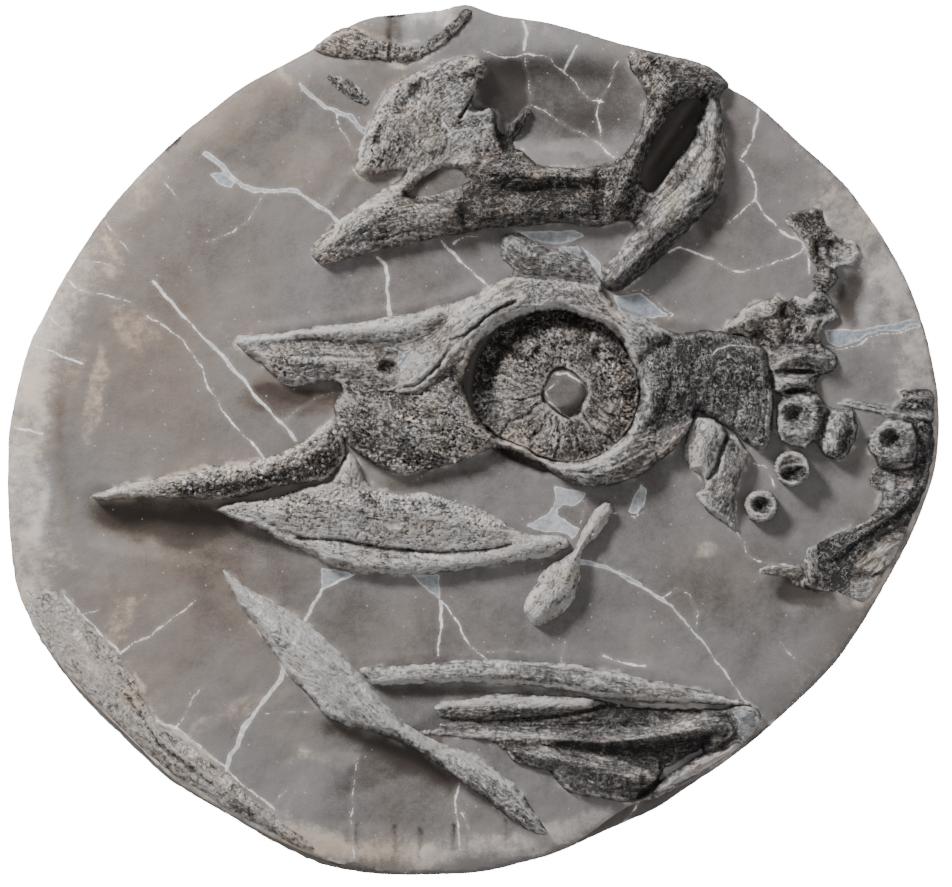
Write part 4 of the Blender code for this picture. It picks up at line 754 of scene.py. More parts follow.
def slab_outline():
    """The block's widest outline, read from the frame at the height of its belly."""
    spots = set()
    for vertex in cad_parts["matrix_slab"].data.vertices:
        if abs(vertex.co.z - BELLY_SHARE * TOP) < 1e-5:
            x, y = picture_units(vertex.co.x, vertex.co.y)
            spots.add((round(x, 2), round(y, 2)))
    return sorted(spots, key=lambda spot: math.atan2(spot[1] - CENTRE_Y, spot[0] - CENTRE_X))


def rim_of(outline):
    """The edge of the worked face, further in where the sides bulge out."""
    count = len(outline)
    rim = []
    for index, (x, y) in enumerate(outline):
        before = outline[index - 1]
        after = outline[(index + 1) % count]
        normal = Vector((after[1] - before[1], before[0] - after[0])).normalized()
        inset = RIM_INSET
        for bulge_x, bulge_y, half_width, extra in SIDE_BULGES:
            inset += extra * math.exp(-(math.hypot(x - bulge_x, y - bulge_y) / half_width) ** 2)
        rim.append((x - normal.x * inset, y - normal.y * inset))
    return rim


OUTLINE = smooth_loop(slab_outline(), OUTLINE_STEP)
RIM = rim_of(OUTLINE)
COARSE_RIM = RIM[::4]


def ground(x, y):
    """Height of the worked face of the matrix, in millimetres."""
    share = np.clip(line_distance(x, y, COARSE_RIM, True)[0] / RIM_REACH, 0.0, 1.0)
    height = -RIM_DROP * (1 - share) ** 2
    for hollow_x, hollow_y, half_length, half_width, turn, depth in HOLLOWS:
        angle = -math.radians(turn)
        along = (x - hollow_x) * math.cos(angle) + (y - hollow_y) * math.sin(angle)
        across = (y - hollow_y) * math.cos(angle) - (x - hollow_x) * math.sin(angle)
        height = height - depth * np.exp(-(along / half_length) ** 4 - (across / half_width) ** 4)
    orbit = np.hypot((x - EYE[0]) / 1.04, y - EYE[1]) / EYE_OUTER
    height = height - ORBIT_DROP * smooth_step(1.16, 1.08, orbit) * smooth_step(0.22, 0.38, orbit)
    for lift, half_width, line in GROUND_LINES:
        height = height + lift * near_line(x, y, line, half_width)
    height = height + GROUND_SWELL * layered_noise(x / 70, y / 70, 5, 3)
    return height + GROUND_RIPPLE * layered_noise(x / 14, y / 14, 6, 3)


def vein_fields(x, y):
    """Signed distance to the nearest vein's edge in millimetres, and that vein's tone."""
    shift_x = 1.6 * layered_noise(x / 16, y / 16, 21, 3)
    shift_y = 1.6 * layered_noise(x / 16, y / 16, 31, 3)
    moved_x = x + shift_x
    moved_y = y + shift_y
    edge = np.full(x.shape, NO_VEIN)
    tone = np.zeros(x.shape)
    for width, vein_tone, line in VEINS:
        xs, ys = zip(*line)
        near = (x > min(xs) - 40) & (x < max(xs) + 40) & (y > min(ys) - 40) & (y < max(ys) + 40)
        if not near.any():
            continue
        distance, along = line_distance(moved_x[near], moved_y[near], line)[:2]
        swell = 1 + 0.35 * value_noise(along / 9, along * 0 + width, 44)
        gap = distance - width * VEIN_SHARE / 2 * swell
        closer = gap < edge[near]
        spots = np.flatnonzero(near)[closer]
        edge[spots] = gap[closer]
        tone[spots] = vein_tone
    for fill_tone, outline in FILLINGS:
        distance = line_distance(moved_x, moved_y, outline, True)[0]
        gap = np.where(inside(moved_x, moved_y, outline), -distance, distance)
        closer = gap < edge
        edge = np.where(closer, gap, edge)
        tone = np.where(closer, fill_tone, tone)
    return edge * UNIT_MM, tone


def stain_and_shade_fields(x, y):
    """Tone and warmth of the matrix: real stains, painted shade in its hollows, under the bones and round
    the inside of the orbit, a pale crust along the bones, a paler weathered band along the rim on the left
    and right, a lighter strip all round the rim, and lighter towards the left and right.
    """
    tone = np.zeros(x.shape)
    warmth = np.zeros(x.shape)
    wobble = 5 * layered_noise(x / 22, y / 22, 61, 3)
    # Stains, and painted shade in the hollows and under the bones
    for stain_x, stain_y, half_length, half_width, turn, lighter, warmer in STAINS_AND_PAINTED_SHADE:
        angle = math.radians(turn)
        along = ((x - stain_x) * math.cos(angle) + (y - stain_y) * math.sin(angle) + wobble) / half_length
        across = ((y - stain_y) * math.cos(angle) - (x - stain_x) * math.sin(angle) + wobble) / half_width
        weight = 1 - smooth_step(0.75, 1.15, np.hypot(along, across))
        tone += lighter * weight
        warmth += warmer * weight
    # Cracks, the pale rim band, and painted shade under the bones, in the trough and in the orbit
    for lighter, warmer, half_width, line in GROUND_TONES_AND_PAINTED_SHADE:
        weight = near_line(x + 0.5 * wobble, y - 0.4 * wobble, line, half_width)
        tone += lighter * weight
        warmth += warmer * weight
    contact = np.full(x.shape, 1e3)
    for _, outline, _ in GROUPS.values():
        contact = np.minimum(contact, line_distance(x, y, outline, True)[0])
    streaky = smooth_step(-0.35, 0.6, layered_noise(x / 18, y / 18, 65, 3))
    tone += 0.42 * np.exp(-(contact / 2.2) ** 2) * streaky ** 2
    tone += 0.07 * np.exp(-(contact / 14) ** 2) * streaky
    tone += 0.05 * layered_noise(x / 110, y / 110, 66, 4) + 0.05 * layered_noise(x / 34, y / 60, 67, 4)
    tone += 0.07 * smooth_step(420, 60, x) + 0.03 * smooth_step(700, 860, x)
    warmth += 0.30 * layered_noise(x / 80, y / 80, 68, 3) + 0.34 * smooth_step(560, 160, x)
    depth = line_distance(x, y, COARSE_RIM, True)[0] + 10 * layered_noise(x / 30, y / 30, 71, 3)
    left = smooth_step(420, 120, x)
    right = smooth_step(700, 880, x) * smooth_step(620, 420, y)
    tone += 0.26 * smooth_step(46, 20, depth) * np.maximum(left * smooth_step(200, 300, y), right)
    tone += 0.10 * smooth_step(26, 6, depth)
    warmth += 0.35 * smooth_step(60, 10, depth) * left * smooth_step(330, 200, y)
    return tone, warmth


def node_loops(node):
    """Closed outlines of a CAD node's flat underside, in picture units, longest first."""
    shape = bmesh.new()
    shape.from_mesh(node.data)
    bmesh.ops.remove_doubles(shape, verts=shape.verts, dist=1e-6)
    floor = min(vertex.co.z for vertex in shape.verts)
    under = {face for face in shape.faces if all(vertex.co.z < floor + 1e-5 for vertex in face.verts)}
    edges = [edge for edge in shape.edges if sum(face in under for face in edge.link_faces) == 1]
    beside = {}
    for edge in edges:
        first, second = edge.verts
        beside.setdefault(first, []).append(second)
        beside.setdefault(second, []).append(first)
    loops = []
    while beside:
        loop = [next(iter(beside))]
        while True:
            onward = [other for other in beside.pop(loop[-1]) if other in beside]
            if not onward:
                break
            loop.append(onward[0])
        loops.append([picture_units(vertex.co.x, vertex.co.y) for vertex in loop])
    shape.free()
    return sorted(loops, key=loop_length, reverse=True)


def loop_length(loop):
    """Length once round a loop of points."""
    return sum(math.dist(first, second) for first, second in zip(loop, loop[1:] + loop[:1]))


def grid_inside(loops, step, margin):
    """A triangular grid of places inside the first loop and outside the others."""
    xs, ys = zip(*loops[0])
    rows = np.arange(min(ys), max(ys), step * ROW_PITCH)
    columns = np.arange(min(xs), max(xs), step)
    x, y = np.meshgrid(columns, rows)
    x = x + step / 2 * (np.arange(len(rows)) % 2)[:, None]
    x = x.ravel()
    y = y.ravel()
    x = x + GRID_JITTER * step * value_noise(x * 3.1, y * 3.1, 3)
    y = y + GRID_JITTER * step * value_noise(x * 2.7, y * 2.7, 4)
    kept = inside(x, y, loops[0])
    for loop in loops[1:]:
        kept &= ~inside(x, y, loop)
    x = x[kept]
    y = y[kept]
    for loop in loops:
        clear = line_distance(x, y, loop, True)[0] > margin
        x = x[clear]
        y = y[clear]
    return x, y


def fill_triangles(loops, x, y):
    """Triangles over loops and inner places; the loops' points come first."""
    spots = [spot for loop in loops for spot in loop]
    edges = []
    start = 0
    for loop in loops:
        edges += [(start + index, start + (index + 1) % len(loop)) for index in range(len(loop))]
        start += len(loop)
    spots += list(zip(x.tolist(), y.tolist()))
    result = delaunay_2d_cdt([Vector(spot) for spot in spots], edges, [], 0, 1e-6, False)
    corners = np.array([corner[:] for corner in result[0]])
    triangles = np.array(result[2])
    middle = corners[triangles].mean(axis=1)
    kept = inside(middle[:, 0], middle[:, 1], loops[0])
    for loop in loops[1:]:
        kept &= ~inside(middle[:, 0], middle[:, 1], loop)
    triangles = triangles[kept]
    turn = corners[triangles]
    first = turn[:, 1] - turn[:, 0]
    second = turn[:, 2] - turn[:, 0]
    backwards = first[:, 0] * second[:, 1] - first[:, 1] * second[:, 0] > 0
    triangles[backwards] = triangles[backwards][:, ::-1]
    return corners[:, 0], corners[:, 1], triangles


def relaxed(values, triangles, rounds):
    """Values averaged with their neighbours along the triangles' edges."""
    pairs = np.concatenate((triangles[:, :2], triangles[:, 1:], triangles[:, ::2]))
    count = np.bincount(pairs.ravel(), minlength=len(values)).astype(float)
    for _ in range(rounds):
        total = np.bincount(pairs[:, 0], values[pairs[:, 1]], len(values))
        total += np.bincount(pairs[:, 1], values[pairs[:, 0]], len(values))
        values = 0.4 * values + 0.6 * total / np.maximum(count, 1)
    return values


def add_piece(name, corners, faces, fields, material, nodes):
    """A mesh object with float attributes, riding on the block in place of its CAD nodes."""
    mesh = bpy.data.meshes.new(name)
    mesh.from_pydata(corners.tolist(), [], faces)
    for field, values in fields.items():
        mesh.attributes.new(field, 'FLOAT', 'POINT').data.foreach_set("value", values.astype(np.float32))
    mesh.materials.append(material)
    mesh.shade_smooth()
    piece = bpy.data.objects.new(name, mesh)
    bpy.context.scene.collection.objects.link(piece)
    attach(piece, "root")
    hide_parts(*nodes)
    return piece


def close_below(loops, x, y, height, triangles, floor):
    """Corners and faces of a relief closed by upright walls and a flat floor, in metres."""
    base_x, base_y, base_triangles = fill_triangles(loops, np.array([]), np.array([]))
    metres_x, metres_y = plan_metres(np.concatenate((x, base_x)), np.concatenate((y, base_y)))
    heights = np.concatenate((height, np.full(len(base_x), floor)))
    corners = np.column_stack((metres_x, metres_y, TOP + heights * MM))
    faces = triangles.tolist()
    below = len(x)
    faces += (base_triangles[:, ::-1] + below).tolist()
    start = 0
    outer = True
    for loop in loops:
        clockwise = loop_area(loop) > 0
        for index in range(len(loop)):
            first = start + index
            second = start + (index + 1) % len(loop)
            if clockwise != outer:
                first, second = second, first
            faces.append((first, second, below + second, below + first))
        start += len(loop)
        outer = False
    return corners, faces


def loop_area(loop):
    """Area inside a loop of points, signed by its direction."""
    area = 0.0
    for (x0, y0), (x1, y1) in zip(loop, loop[1:] + loop[:1]):
        area += x0 * y1 - x1 * y0
    return area / 2


def roof_heights(node, x, y):
    """Heights of a CAD node's upper surface in millimetres above the flat top, where it has one."""
    corners = [vertex.co.copy() for vertex in node.data.vertices]
    tree = BVHTree.FromPolygons(corners, [polygon.vertices[:] for polygon in node.data.polygons])
    metres_x, metres_y = plan_metres(x, y)
    down = Vector((0, 0, -1))
    heights = np.full(len(x), np.nan)
    low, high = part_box(node.name)
    over = (metres_x > low.x) & (metres_x < high.x) & (metres_y > low.y) & (metres_y < high.y)
    for index in np.flatnonzero(over).tolist():
        spot_x, spot_y = float(metres_x[index]), float(metres_y[index])
        hit = tree.ray_cast(Vector((spot_x, spot_y, TOP + 0.05)), down)[0]
        if hit is not None:
            heights[index] = (hit.z - TOP) / MM
    return heights


def wrinkle_relief(x, y, streaks, seed):
    """Thin crumpled ridges, and clusters of holes."""
    wrinkle_x = x + 3 * layered_noise(x / 12, y / 12, seed + 13, 2)
    wrinkle_y = y + 3 * layered_noise(x / 12, y / 12, seed + 14, 2)
    wrinkles = np.abs(layered_noise(wrinkle_x / 9, wrinkle_y / 7, seed + 11, 3, 0.6))
    holes = cell_distance(x / 5.2 + 0.9 * streaks, y / 4.6 + 0.9 * streaks, seed + 9)
    clusters = smooth_step(0.05, 0.7, layered_noise(x / 16, y / 16, seed + 12, 2))
    return 0.70 * smooth_step(0.15, 0.0, wrinkles) - 1.5 * smooth_step(0.42, 0.12, holes) * clusters


def bone_relief(name, x, y, seed):
    """Height detail of a bone in millimetres, and places along and across its fibres."""
    fibres, lumps, pits, grain = BONES[name][3:]
    if grain is None:
        along = np.hypot(x - EYE[0], y - EYE[1])
        across = np.arctan2(y - EYE[1], x - EYE[0]) * EYE_RADIUS
    else:
        distance, along, side = line_distance(x, y, grain)
        across = distance * side
    bend = 4 * layered_noise(along / 30, across / 12, seed, 2)
    streaks = layered_noise(along / 16, (across + bend) / 2.0, seed + 3, 3, 0.65)
    coarse = layered_noise(along / 45, (across + bend) / 7, seed + 5, 2)
    detail = fibres * (0.60 * streaks + 0.40 * coarse)
    detail += 0.17 * layered_noise(x / 2.8, y / 2.8, seed + 4, 2)
    small = 0.8 * layered_noise(x / 9, y / 9, seed + 7, 4, 0.62)
    detail += lumps * (small + 0.6 * value_noise(x / 22, y / 22, seed + 8))
    detail += 1.25 * pits * wrinkle_relief(x, y, streaks, seed)
    return detail, along, across + bend


def member_fields(members, x, y, triangles, drop):
    """Roof height over the CAD bones, the bone that each place belongs to and how far off it is."""
    roof = np.full(x.shape, np.nan)
    owner = np.full(x.shape, -1)
    for index, member in enumerate(members):
        height = roof_heights(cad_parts[member], x, y)
        higher = ~np.isnan(height) & (np.isnan(roof) | (height > roof))
        roof[higher] = height[higher]
        owner[higher] = index
    known = np.flatnonzero(owner >= 0)
    tree = KDTree(len(known))
    for spot in known:
        tree.insert((x[spot], y[spot], 0.0), int(spot))
    tree.balance()
    apart = np.zeros(x.shape)
    for spot in np.flatnonzero(owner < 0):
        nearest = tree.find((x[spot], y[spot], 0.0))
        owner[spot] = owner[nearest[1]]
        apart[spot] = nearest[2]
        roof[spot] = roof[nearest[1]] - drop * min(1.0, nearest[2] / GAP_REACH)
    smooth = relaxed(roof, triangles, 26 if drop == GAP_DROP else 8)
    return 0.35 * relaxed(roof, triangles, 6) + 0.65 * smooth, owner, apart


def wobbled(loop, seed):
    """An outline drawn finely, with a small natural wave."""
    fine = smooth_loop(loop, LOOP_STEP)
    moved = []
    for index, (x, y) in enumerate(fine):
        wave = layered_noise(np.array([x / 7]), np.array([y / 7]), seed, 3)[0]
        before = fine[index - 1]
        after = fine[(index + 1) % len(fine)]
        normal = Vector((after[1] - before[1], before[0] - after[0])).normalized()
        moved.append((x + normal.x * wave * 0.9, y + normal.y * wave * 0.9))
    return moved


def eye_fields(x, y, roof):
    """The ring of eye plates: sunk below its surround, spongy above and split into plates below, with
    painted shadow from the orbit wall along its outer edge, most on the upper left.
    """
    radius = np.hypot((x - EYE[0]) / 1.03, y - EYE[1])
    angle = np.arctan2(y - EYE[1], x - EYE[0])
    outward = radius / EYE_OUTER
    upper_left = np.clip(-np.cos(angle - math.radians(55)), 0, 1)
    sunk = roof - 1.2 - (0.8 + 1.6 * upper_left) * smooth_step(0.80, 0.98, outward)
    sector = angle * EYE_PLATES / (2 * math.pi) + 0.16 * layered_noise(radius / 14, angle * 3, 301, 2)
    seam = np.abs(sector - np.round(sector)) * 2 * math.pi / EYE_PLATES * radius
    below = smooth_step(-0.35, 0.25, np.sin(angle - math.radians(20)))
    detail = -0.55 * np.exp(-(seam / 1.5) ** 2) * below
    detail += 0.5 * (1 - below) * layered_noise(x / 10, y / 10, 311, 4, 0.6)
    for pit_x, pit_y, size in EYE_PITS:
        detail -= 1.6 * np.exp(-((x - pit_x) ** 2 + (y - pit_y) ** 2) / size ** 2)
    # Painted shadow of the orbit wall along the ring's outer edge, strongest on the upper left
    shade = -0.55 * smooth_step(0.78, 0.95, outward) * np.clip(upper_left + 0.12, 0, 1)
    shade += 0.10 * below - 0.12 * np.exp(-(seam / 1.6) ** 2) * below
    shade += 0.24 * smooth_step(0.42, 0.34, outward)
    return sunk, detail, shade


def member_values(name, members, owner, apart, place, triangles, seed):
    """What the bones of a surface give each of its points, blended where two bones meet."""
    x, y = place
    keys = ("detail", "along", "across", "tone", "warmth", "shoulder", "rugged")
    values = {key: np.zeros(x.shape) for key in keys}
    for index, member in enumerate(members):
        own = owner == index
        if not own.any():
            continue
        tone, warmth, shoulder, _, _, rugged, _ = BONES[member]
        relief = bone_relief(member, x[own], y[own], seed + index)
        for key, value in zip(keys, relief + (tone, warmth, shoulder, rugged)):
            values[key][own] = value
    has_gaps = name in GAP_DEPTHS
    values["tone"] = relaxed(values["tone"], triangles, SHORT_BLEND if has_gaps else LONG_BLEND)
    if has_gaps:
        # Painted shade in the gaps between the bones
        values["tone"] -= GAP_PAINTED_SHADE * smooth_step(0.5, 4.0, apart)
    for key in ("warmth", "rugged", "shoulder"):
        values[key] = relaxed(values[key], triangles, SHORT_BLEND)
    return values


def carving_fields(members, x, y, seed):
    """Furrows, ridges and cups of the bones in millimetres, and the change of tone that goes with them:
    painted shade inside the cups, painted highlight on their brims, and the tone lines of the bones, which
    hold their own patches and painted shade and highlight."""
    carved = np.zeros(x.shape)
    tone = np.zeros(x.shape)
    for member in members:
        for depth, half_width, line in CARVING.get(member, ()):
            carved += depth * near_line(x + 1.2 * value_noise(x / 8, y / 8, seed), y, line, half_width)
        for cup_bone, cup_x, cup_y, half_length, half_width, depth, rim in CUPS:
            if cup_bone != member:
                continue
            reach = np.hypot((x - cup_x) / half_length, (y - cup_y) / half_width)
            reach = reach * (1 + 0.10 * value_noise(x / 6, y / 6, seed + 60))
            brim = np.exp(-((reach - 1.35) / 0.30) ** 2)
            cup = np.exp(-reach ** 3)
            carved += rim * brim - depth * cup
            # Painted highlight on the cup's brim and painted shade inside the cup
            tone += 0.12 * brim * rim - 0.08 * min(depth, 2.2) * cup
        # Tone lines of the bone: its own patches, and painted shade and highlight
        for amount, half_width, line in BONE_TONES_AND_PAINTED_SHADE.get(member, ()):
            tone += amount * near_line(x + 2 * value_noise(x / 9, y / 9, seed), y, line, half_width)
    return carved, tone


def shaded_tone(x, y, tone, rugged, detail, carved, crest, edge, seed):
    """Tone of a bone: its own, uneven and mottled, with painted shade in pits, furrows and grooves and
    painted highlight on bumps and crests, and a pale crust along its edges.
    """
    shade = tone + 0.16 * layered_noise(x / 34, y / 34, seed + 40, 4, 0.65)
    shade += (0.06 + 0.26 * rugged) * layered_noise(x / 11, y / 9, seed + 45, 3, 0.6)
    # Painted shade where the detail and carving sink, painted highlight where they rise
    shade += 0.05 * np.clip(detail / 0.6, -1.5, 1.5) + 0.03 * np.clip(carved, -2.0, 1.0)
    patches = smooth_step(-0.3, 0.5, layered_noise(x / 12, y / 12, seed + 90, 3))
    shade += 0.40 * patches * smooth_step(1.1, 0.2, edge)
    # Painted highlight on crests and painted shade in grooves
    shade += np.clip(crest * (0.9 + 1.0 * rugged), -0.26, 0.34)
    return np.clip(shade, 0, 1)


def build_bones(name, members, loops, spacing, material):
    """One surface over the bones of a group: their CAD roofs, rounded at the outline and worked finely."""
    seed = sum(ord(letter) for letter in name)
    loops = [wobbled(loop, seed) for loop in loops]
    inner_x, inner_y = grid_inside(loops, spacing / UNIT_MM, 0.45 * spacing / UNIT_MM)
    x, y, triangles = fill_triangles(loops, inner_x, inner_y)
    roof, owner, apart = member_fields(members, x, y, triangles, GAP_DEPTHS.get(name, GAP_DROP))
    values = member_values(name, members, owner, apart, (x, y), triangles, seed)
    carved, carving_tone_and_shade = carving_fields(members, x, y, seed)
    detail = values["detail"]
    # Adds painted shade and highlight from the cups and the tone lines of the bones
    tone = values["tone"] + carving_tone_and_shade
    rugged = values["rugged"]
    for group, amount, half_width, line in ROUGH_PATCHES:
        if name == group:
            patch = amount * near_line(x, y, line, half_width)
            detail += patch * wrinkle_relief(x, y, layered_noise(x / 6, y / 6, seed + 81, 2), seed + 80)
            rugged += patch
    base = ground(x, y)
    low = base - 1.0
    if name == "eye_ring":
        roof, eye_detail, eye_tone_and_shadow = eye_fields(x, y, roof)
        detail += eye_detail
        # Adds painted shadow of the orbit wall, with the ring's own tones
        tone += eye_tone_and_shadow
    else:
        roof = np.maximum(roof, base + GAP_LIFT)
    for group, start, end in FADES:
        if name == group:
            kept = 0.15 + 0.85 * smooth_step(start, end, x)
            roof = base + GAP_LIFT + (roof - base - GAP_LIFT) * kept
    edge = UNIT_MM * np.min([line_distance(x, y, loop, True)[0] for loop in loops], axis=0)
    uneven = np.clip(layered_noise(x / 20, y / 20, seed + 70, 3), -1, 1)
    share = np.clip(edge / (values["shoulder"] * (1 + 0.55 * uneven)), 0, 1)
    rise = 0.6 * np.sqrt(1 - (1 - share) ** 2) + 0.4 * smooth_step(0.0, 1.0, share)
    height = low + np.maximum(roof + detail + carved - low, 0.3) * rise
    # How far each point stands above its neighbours, which paints highlight on crests and shade in grooves
    crest = height - relaxed(height, triangles, 5)
    vein_edge, vein_tone = vein_fields(x, y)
    warmth = values["warmth"] + 0.3 * layered_noise(x / 24, y / 24, seed + 50, 2)
    fields = {
        "tone": shaded_tone(x, y, tone, rugged, detail, carved, crest, edge, seed),
        "warmth": np.clip(warmth, 0, 1),
        "vein_edge": vein_edge,
        "vein_tone": vein_tone,
        "rugged": rugged,
        "grain_along": values["along"] * UNIT_MM,
        "grain_across": values["across"] * UNIT_MM,
    }
    floor = float(np.min(low)) - 2.0
    corners, faces = close_below(loops, x, y, height, triangles, floor)
    extra = len(corners) - len(x)
    for field in fields:
        fields[field] = np.concatenate((fields[field], np.full(extra, fields[field][0])))
    add_piece(name + "_surface", corners, faces, fields, material, members)


def node_in(tree, kind, inputs=None, **settings):
    """A node with its settings and unlinked inputs set, or linked where a socket is given."""
    item = tree.nodes.new(kind)
    for setting, value in settings.items():
        setattr(item, setting, value)
    for key, value in (inputs or {}).items():
        if isinstance(value, bpy.types.NodeSocket):
            tree.links.new(value, item.inputs[key])
        else:
            item.inputs[key].default_value = value
    return item


def math_in(tree, operation, first, second, clamp=False):
    """A Math node's result."""
    item = node_in(tree, "ShaderNodeMath", {0: first, 1: second}, operation=operation, use_clamp=clamp)
    return item.outputs[0]


def times(tree, first, second, clamp=False):
    return math_in(tree, 'MULTIPLY', first, second, clamp)


def plus(tree, first, second):
    return math_in(tree, 'ADD', first, second)


def minus(tree, first, second):
    return math_in(tree, 'SUBTRACT', first, second)


def mix_in(tree, factor, first, second, blend='MIX'):
    """A colour between two, or blended from them."""
    item = node_in(tree, "ShaderNodeMix", {0: factor, 6: first, 7: second}, data_type='RGBA',
                   blend_type=blend)
    return item.outputs[2]


def map_in(tree, value, low, high, new_low=0.0, new_high=1.0):
    """A value carried softly from one range to another."""
    item = node_in(tree, "ShaderNodeMapRange", {0: value, 1: low, 2: high, 3: new_low, 4: new_high},
                   interpolation_type='SMOOTHSTEP')
    return item.outputs[0]


def noise_in(tree, place, scale, detail=3.0, roughness=0.6):
    item = node_in(tree, "ShaderNodeTexNoise", {"Vector": place, "Scale": scale, "Detail": detail,
                                                "Roughness": roughness})
    return item.outputs["Fac"]


def attribute_in(tree, name):
    return node_in(tree, "ShaderNodeAttribute", attribute_name=name).outputs["Fac"]


# Scale of the grain of the two stones, depth of their bumps in metres, stretch of the bone's fibres along
# and across their run, and how ragged the edges of the veins are in millimetres
MATRIX_GRAIN = 1500.0
BONE_GRAIN = 1900.0
MATRIX_BUMP = 0.00022
BONE_BUMP = 0.00065
FIBRE_ALONG = 0.30
FIBRE_ACROSS = 1.3
VEIN_RAGGEDNESS = 0.55


def grain_group():
    """Fine grain of stone: a speckle, a fleck mask and a height for bumps."""
    group = bpy.data.node_groups.new("stone_grain", 'ShaderNodeTree')
    socket = group.interface.new_socket("Scale", in_out='INPUT', socket_type='NodeSocketFloat')
    socket.default_value = 1000.0
    for name in ("Speckle", "Flecks", "Height"):
        group.interface.new_socket(name, in_out='OUTPUT', socket_type='NodeSocketFloat')
    start = group.nodes.new("NodeGroupInput")
    end = group.nodes.new("NodeGroupOutput")
    place = group.nodes.new("ShaderNodeTexCoord").outputs["Object"]
    coarse = noise_in(group, place, times(group, start.outputs["Scale"], 0.35), 4.0, 0.62)
    fine = noise_in(group, place, start.outputs["Scale"], 3.0, 0.7)
    cells = node_in(group, "ShaderNodeTexVoronoi", {"Vector": place, "Scale": start.outputs["Scale"]})
    mixed = plus(group, times(group, coarse, 0.45),
                    times(group, fine, 0.55))
    flecks = map_in(group, cells.outputs["Color"], 0.88, 0.99)
    group.links.new(map_in(group, mixed, 0.36, 0.64), end.inputs["Speckle"])
    group.links.new(flecks, end.inputs["Flecks"])
    group.links.new(plus(group, mixed, times(group, flecks, 0.1)), end.inputs["Height"])
    return group


def fibre_group():
    """Bone fibres along the grain attributes, a broken net of pale mineral threads, and pores."""
    group = bpy.data.node_groups.new("bone_fibres", 'ShaderNodeTree')
    for name in ("Fibres", "Threads", "Pores"):
        group.interface.new_socket(name, in_out='OUTPUT', socket_type='NodeSocketFloat')
    end = group.nodes.new("NodeGroupOutput")
    place = group.nodes.new("ShaderNodeTexCoord").outputs["Object"]
    along = times(group, attribute_in(group, "grain_along"), FIBRE_ALONG)
    across = times(group, attribute_in(group, "grain_across"), FIBRE_ACROSS)
    combined = node_in(group, "ShaderNodeCombineXYZ", {0: along, 1: across})
    fibres = noise_in(group, combined.outputs[0], 1.0, 5.0, 0.75)
    group.links.new(map_in(group, fibres, 0.34, 0.66), end.inputs["Fibres"])
    drift = node_in(group, "ShaderNodeTexNoise", {"Vector": place, "Scale": 500.0, "Detail": 3.0})
    moved = node_in(group, "ShaderNodeVectorMath", {0: drift.outputs["Color"], 1: (0.003, 0.003, 0.003)},
                    operation='MULTIPLY')
    shifted = node_in(group, "ShaderNodeVectorMath", {0: place, 1: moved.outputs[0]}, operation='ADD')
    crumple = minus(group, noise_in(group, shifted.outputs[0], 330.0, 4.0, 0.55), 0.5)
    line = map_in(group, math_in(group, 'ABSOLUTE', crumple, 0.0), 0.026, 0.0)
    broken = map_in(group, noise_in(group, place, 260.0, 3.0), 0.40, 0.56)
    group.links.new(times(group, line, broken), end.inputs["Threads"])
    pores = noise_in(group, shifted.outputs[0], 900.0, 3.0, 0.6)
    group.links.new(map_in(group, pores, 0.43, 0.31), end.inputs["Pores"])
    return group


def vein_group():
    """Mask of the mineral veins, from the distance to their edge, with a ragged border."""
    group = bpy.data.node_groups.new("mineral_veins", 'ShaderNodeTree')
    group.interface.new_socket("Raggedness", in_out='INPUT', socket_type='NodeSocketFloat')
    for name in ("Mask", "Halo", "Border", "Tone"):
        group.interface.new_socket(name, in_out='OUTPUT', socket_type='NodeSocketFloat')
    start = group.nodes.new("NodeGroupInput")
    end = group.nodes.new("NodeGroupOutput")
    place = group.nodes.new("ShaderNodeTexCoord").outputs["Object"]
    rough = minus(group, noise_in(group, place, 1100.0, 4.0, 0.75), 0.5)
    broad = minus(group, noise_in(group, place, 240.0, 3.0, 0.6), 0.42)
    edge = plus(group, attribute_in(group, "vein_edge"),
                   times(group, rough, start.outputs["Raggedness"]))
    edge = plus(group, edge, broad)
    group.links.new(map_in(group, edge, 0.12, -0.10), end.inputs["Mask"])
    group.links.new(map_in(group, edge, 1.6, 0.0), end.inputs["Halo"])
    group.links.new(map_in(group, edge, -0.75, -0.1), end.inputs["Border"])
    group.links.new(attribute_in(group, "vein_tone"), end.inputs["Tone"])
    return group


def tone_ramp(tree, tone, dark, middle, pale):
    """Colour from dark through middle to pale as the tone goes from 0 to 1."""
    low = mix_in(tree, map_in(tree, tone, 0.0, 0.5), (*dark, 1), (*middle, 1))
    return mix_in(tree, map_in(tree, tone, 0.45, 1.0), low, (*pale, 1))


def stained(tree, colour, warm):
    """Colour with the brown tint where the warmth attribute asks for it: real stains, and the brown of the
    painted shade under the bones and in the hollows.
    """
    tint = times(tree, attribute_in(tree, "warmth"), 0.8, True)
    return mix_in(tree, tint, colour, mix_in(tree, 1.0, colour, (*warm, 1), 'MULTIPLY'))


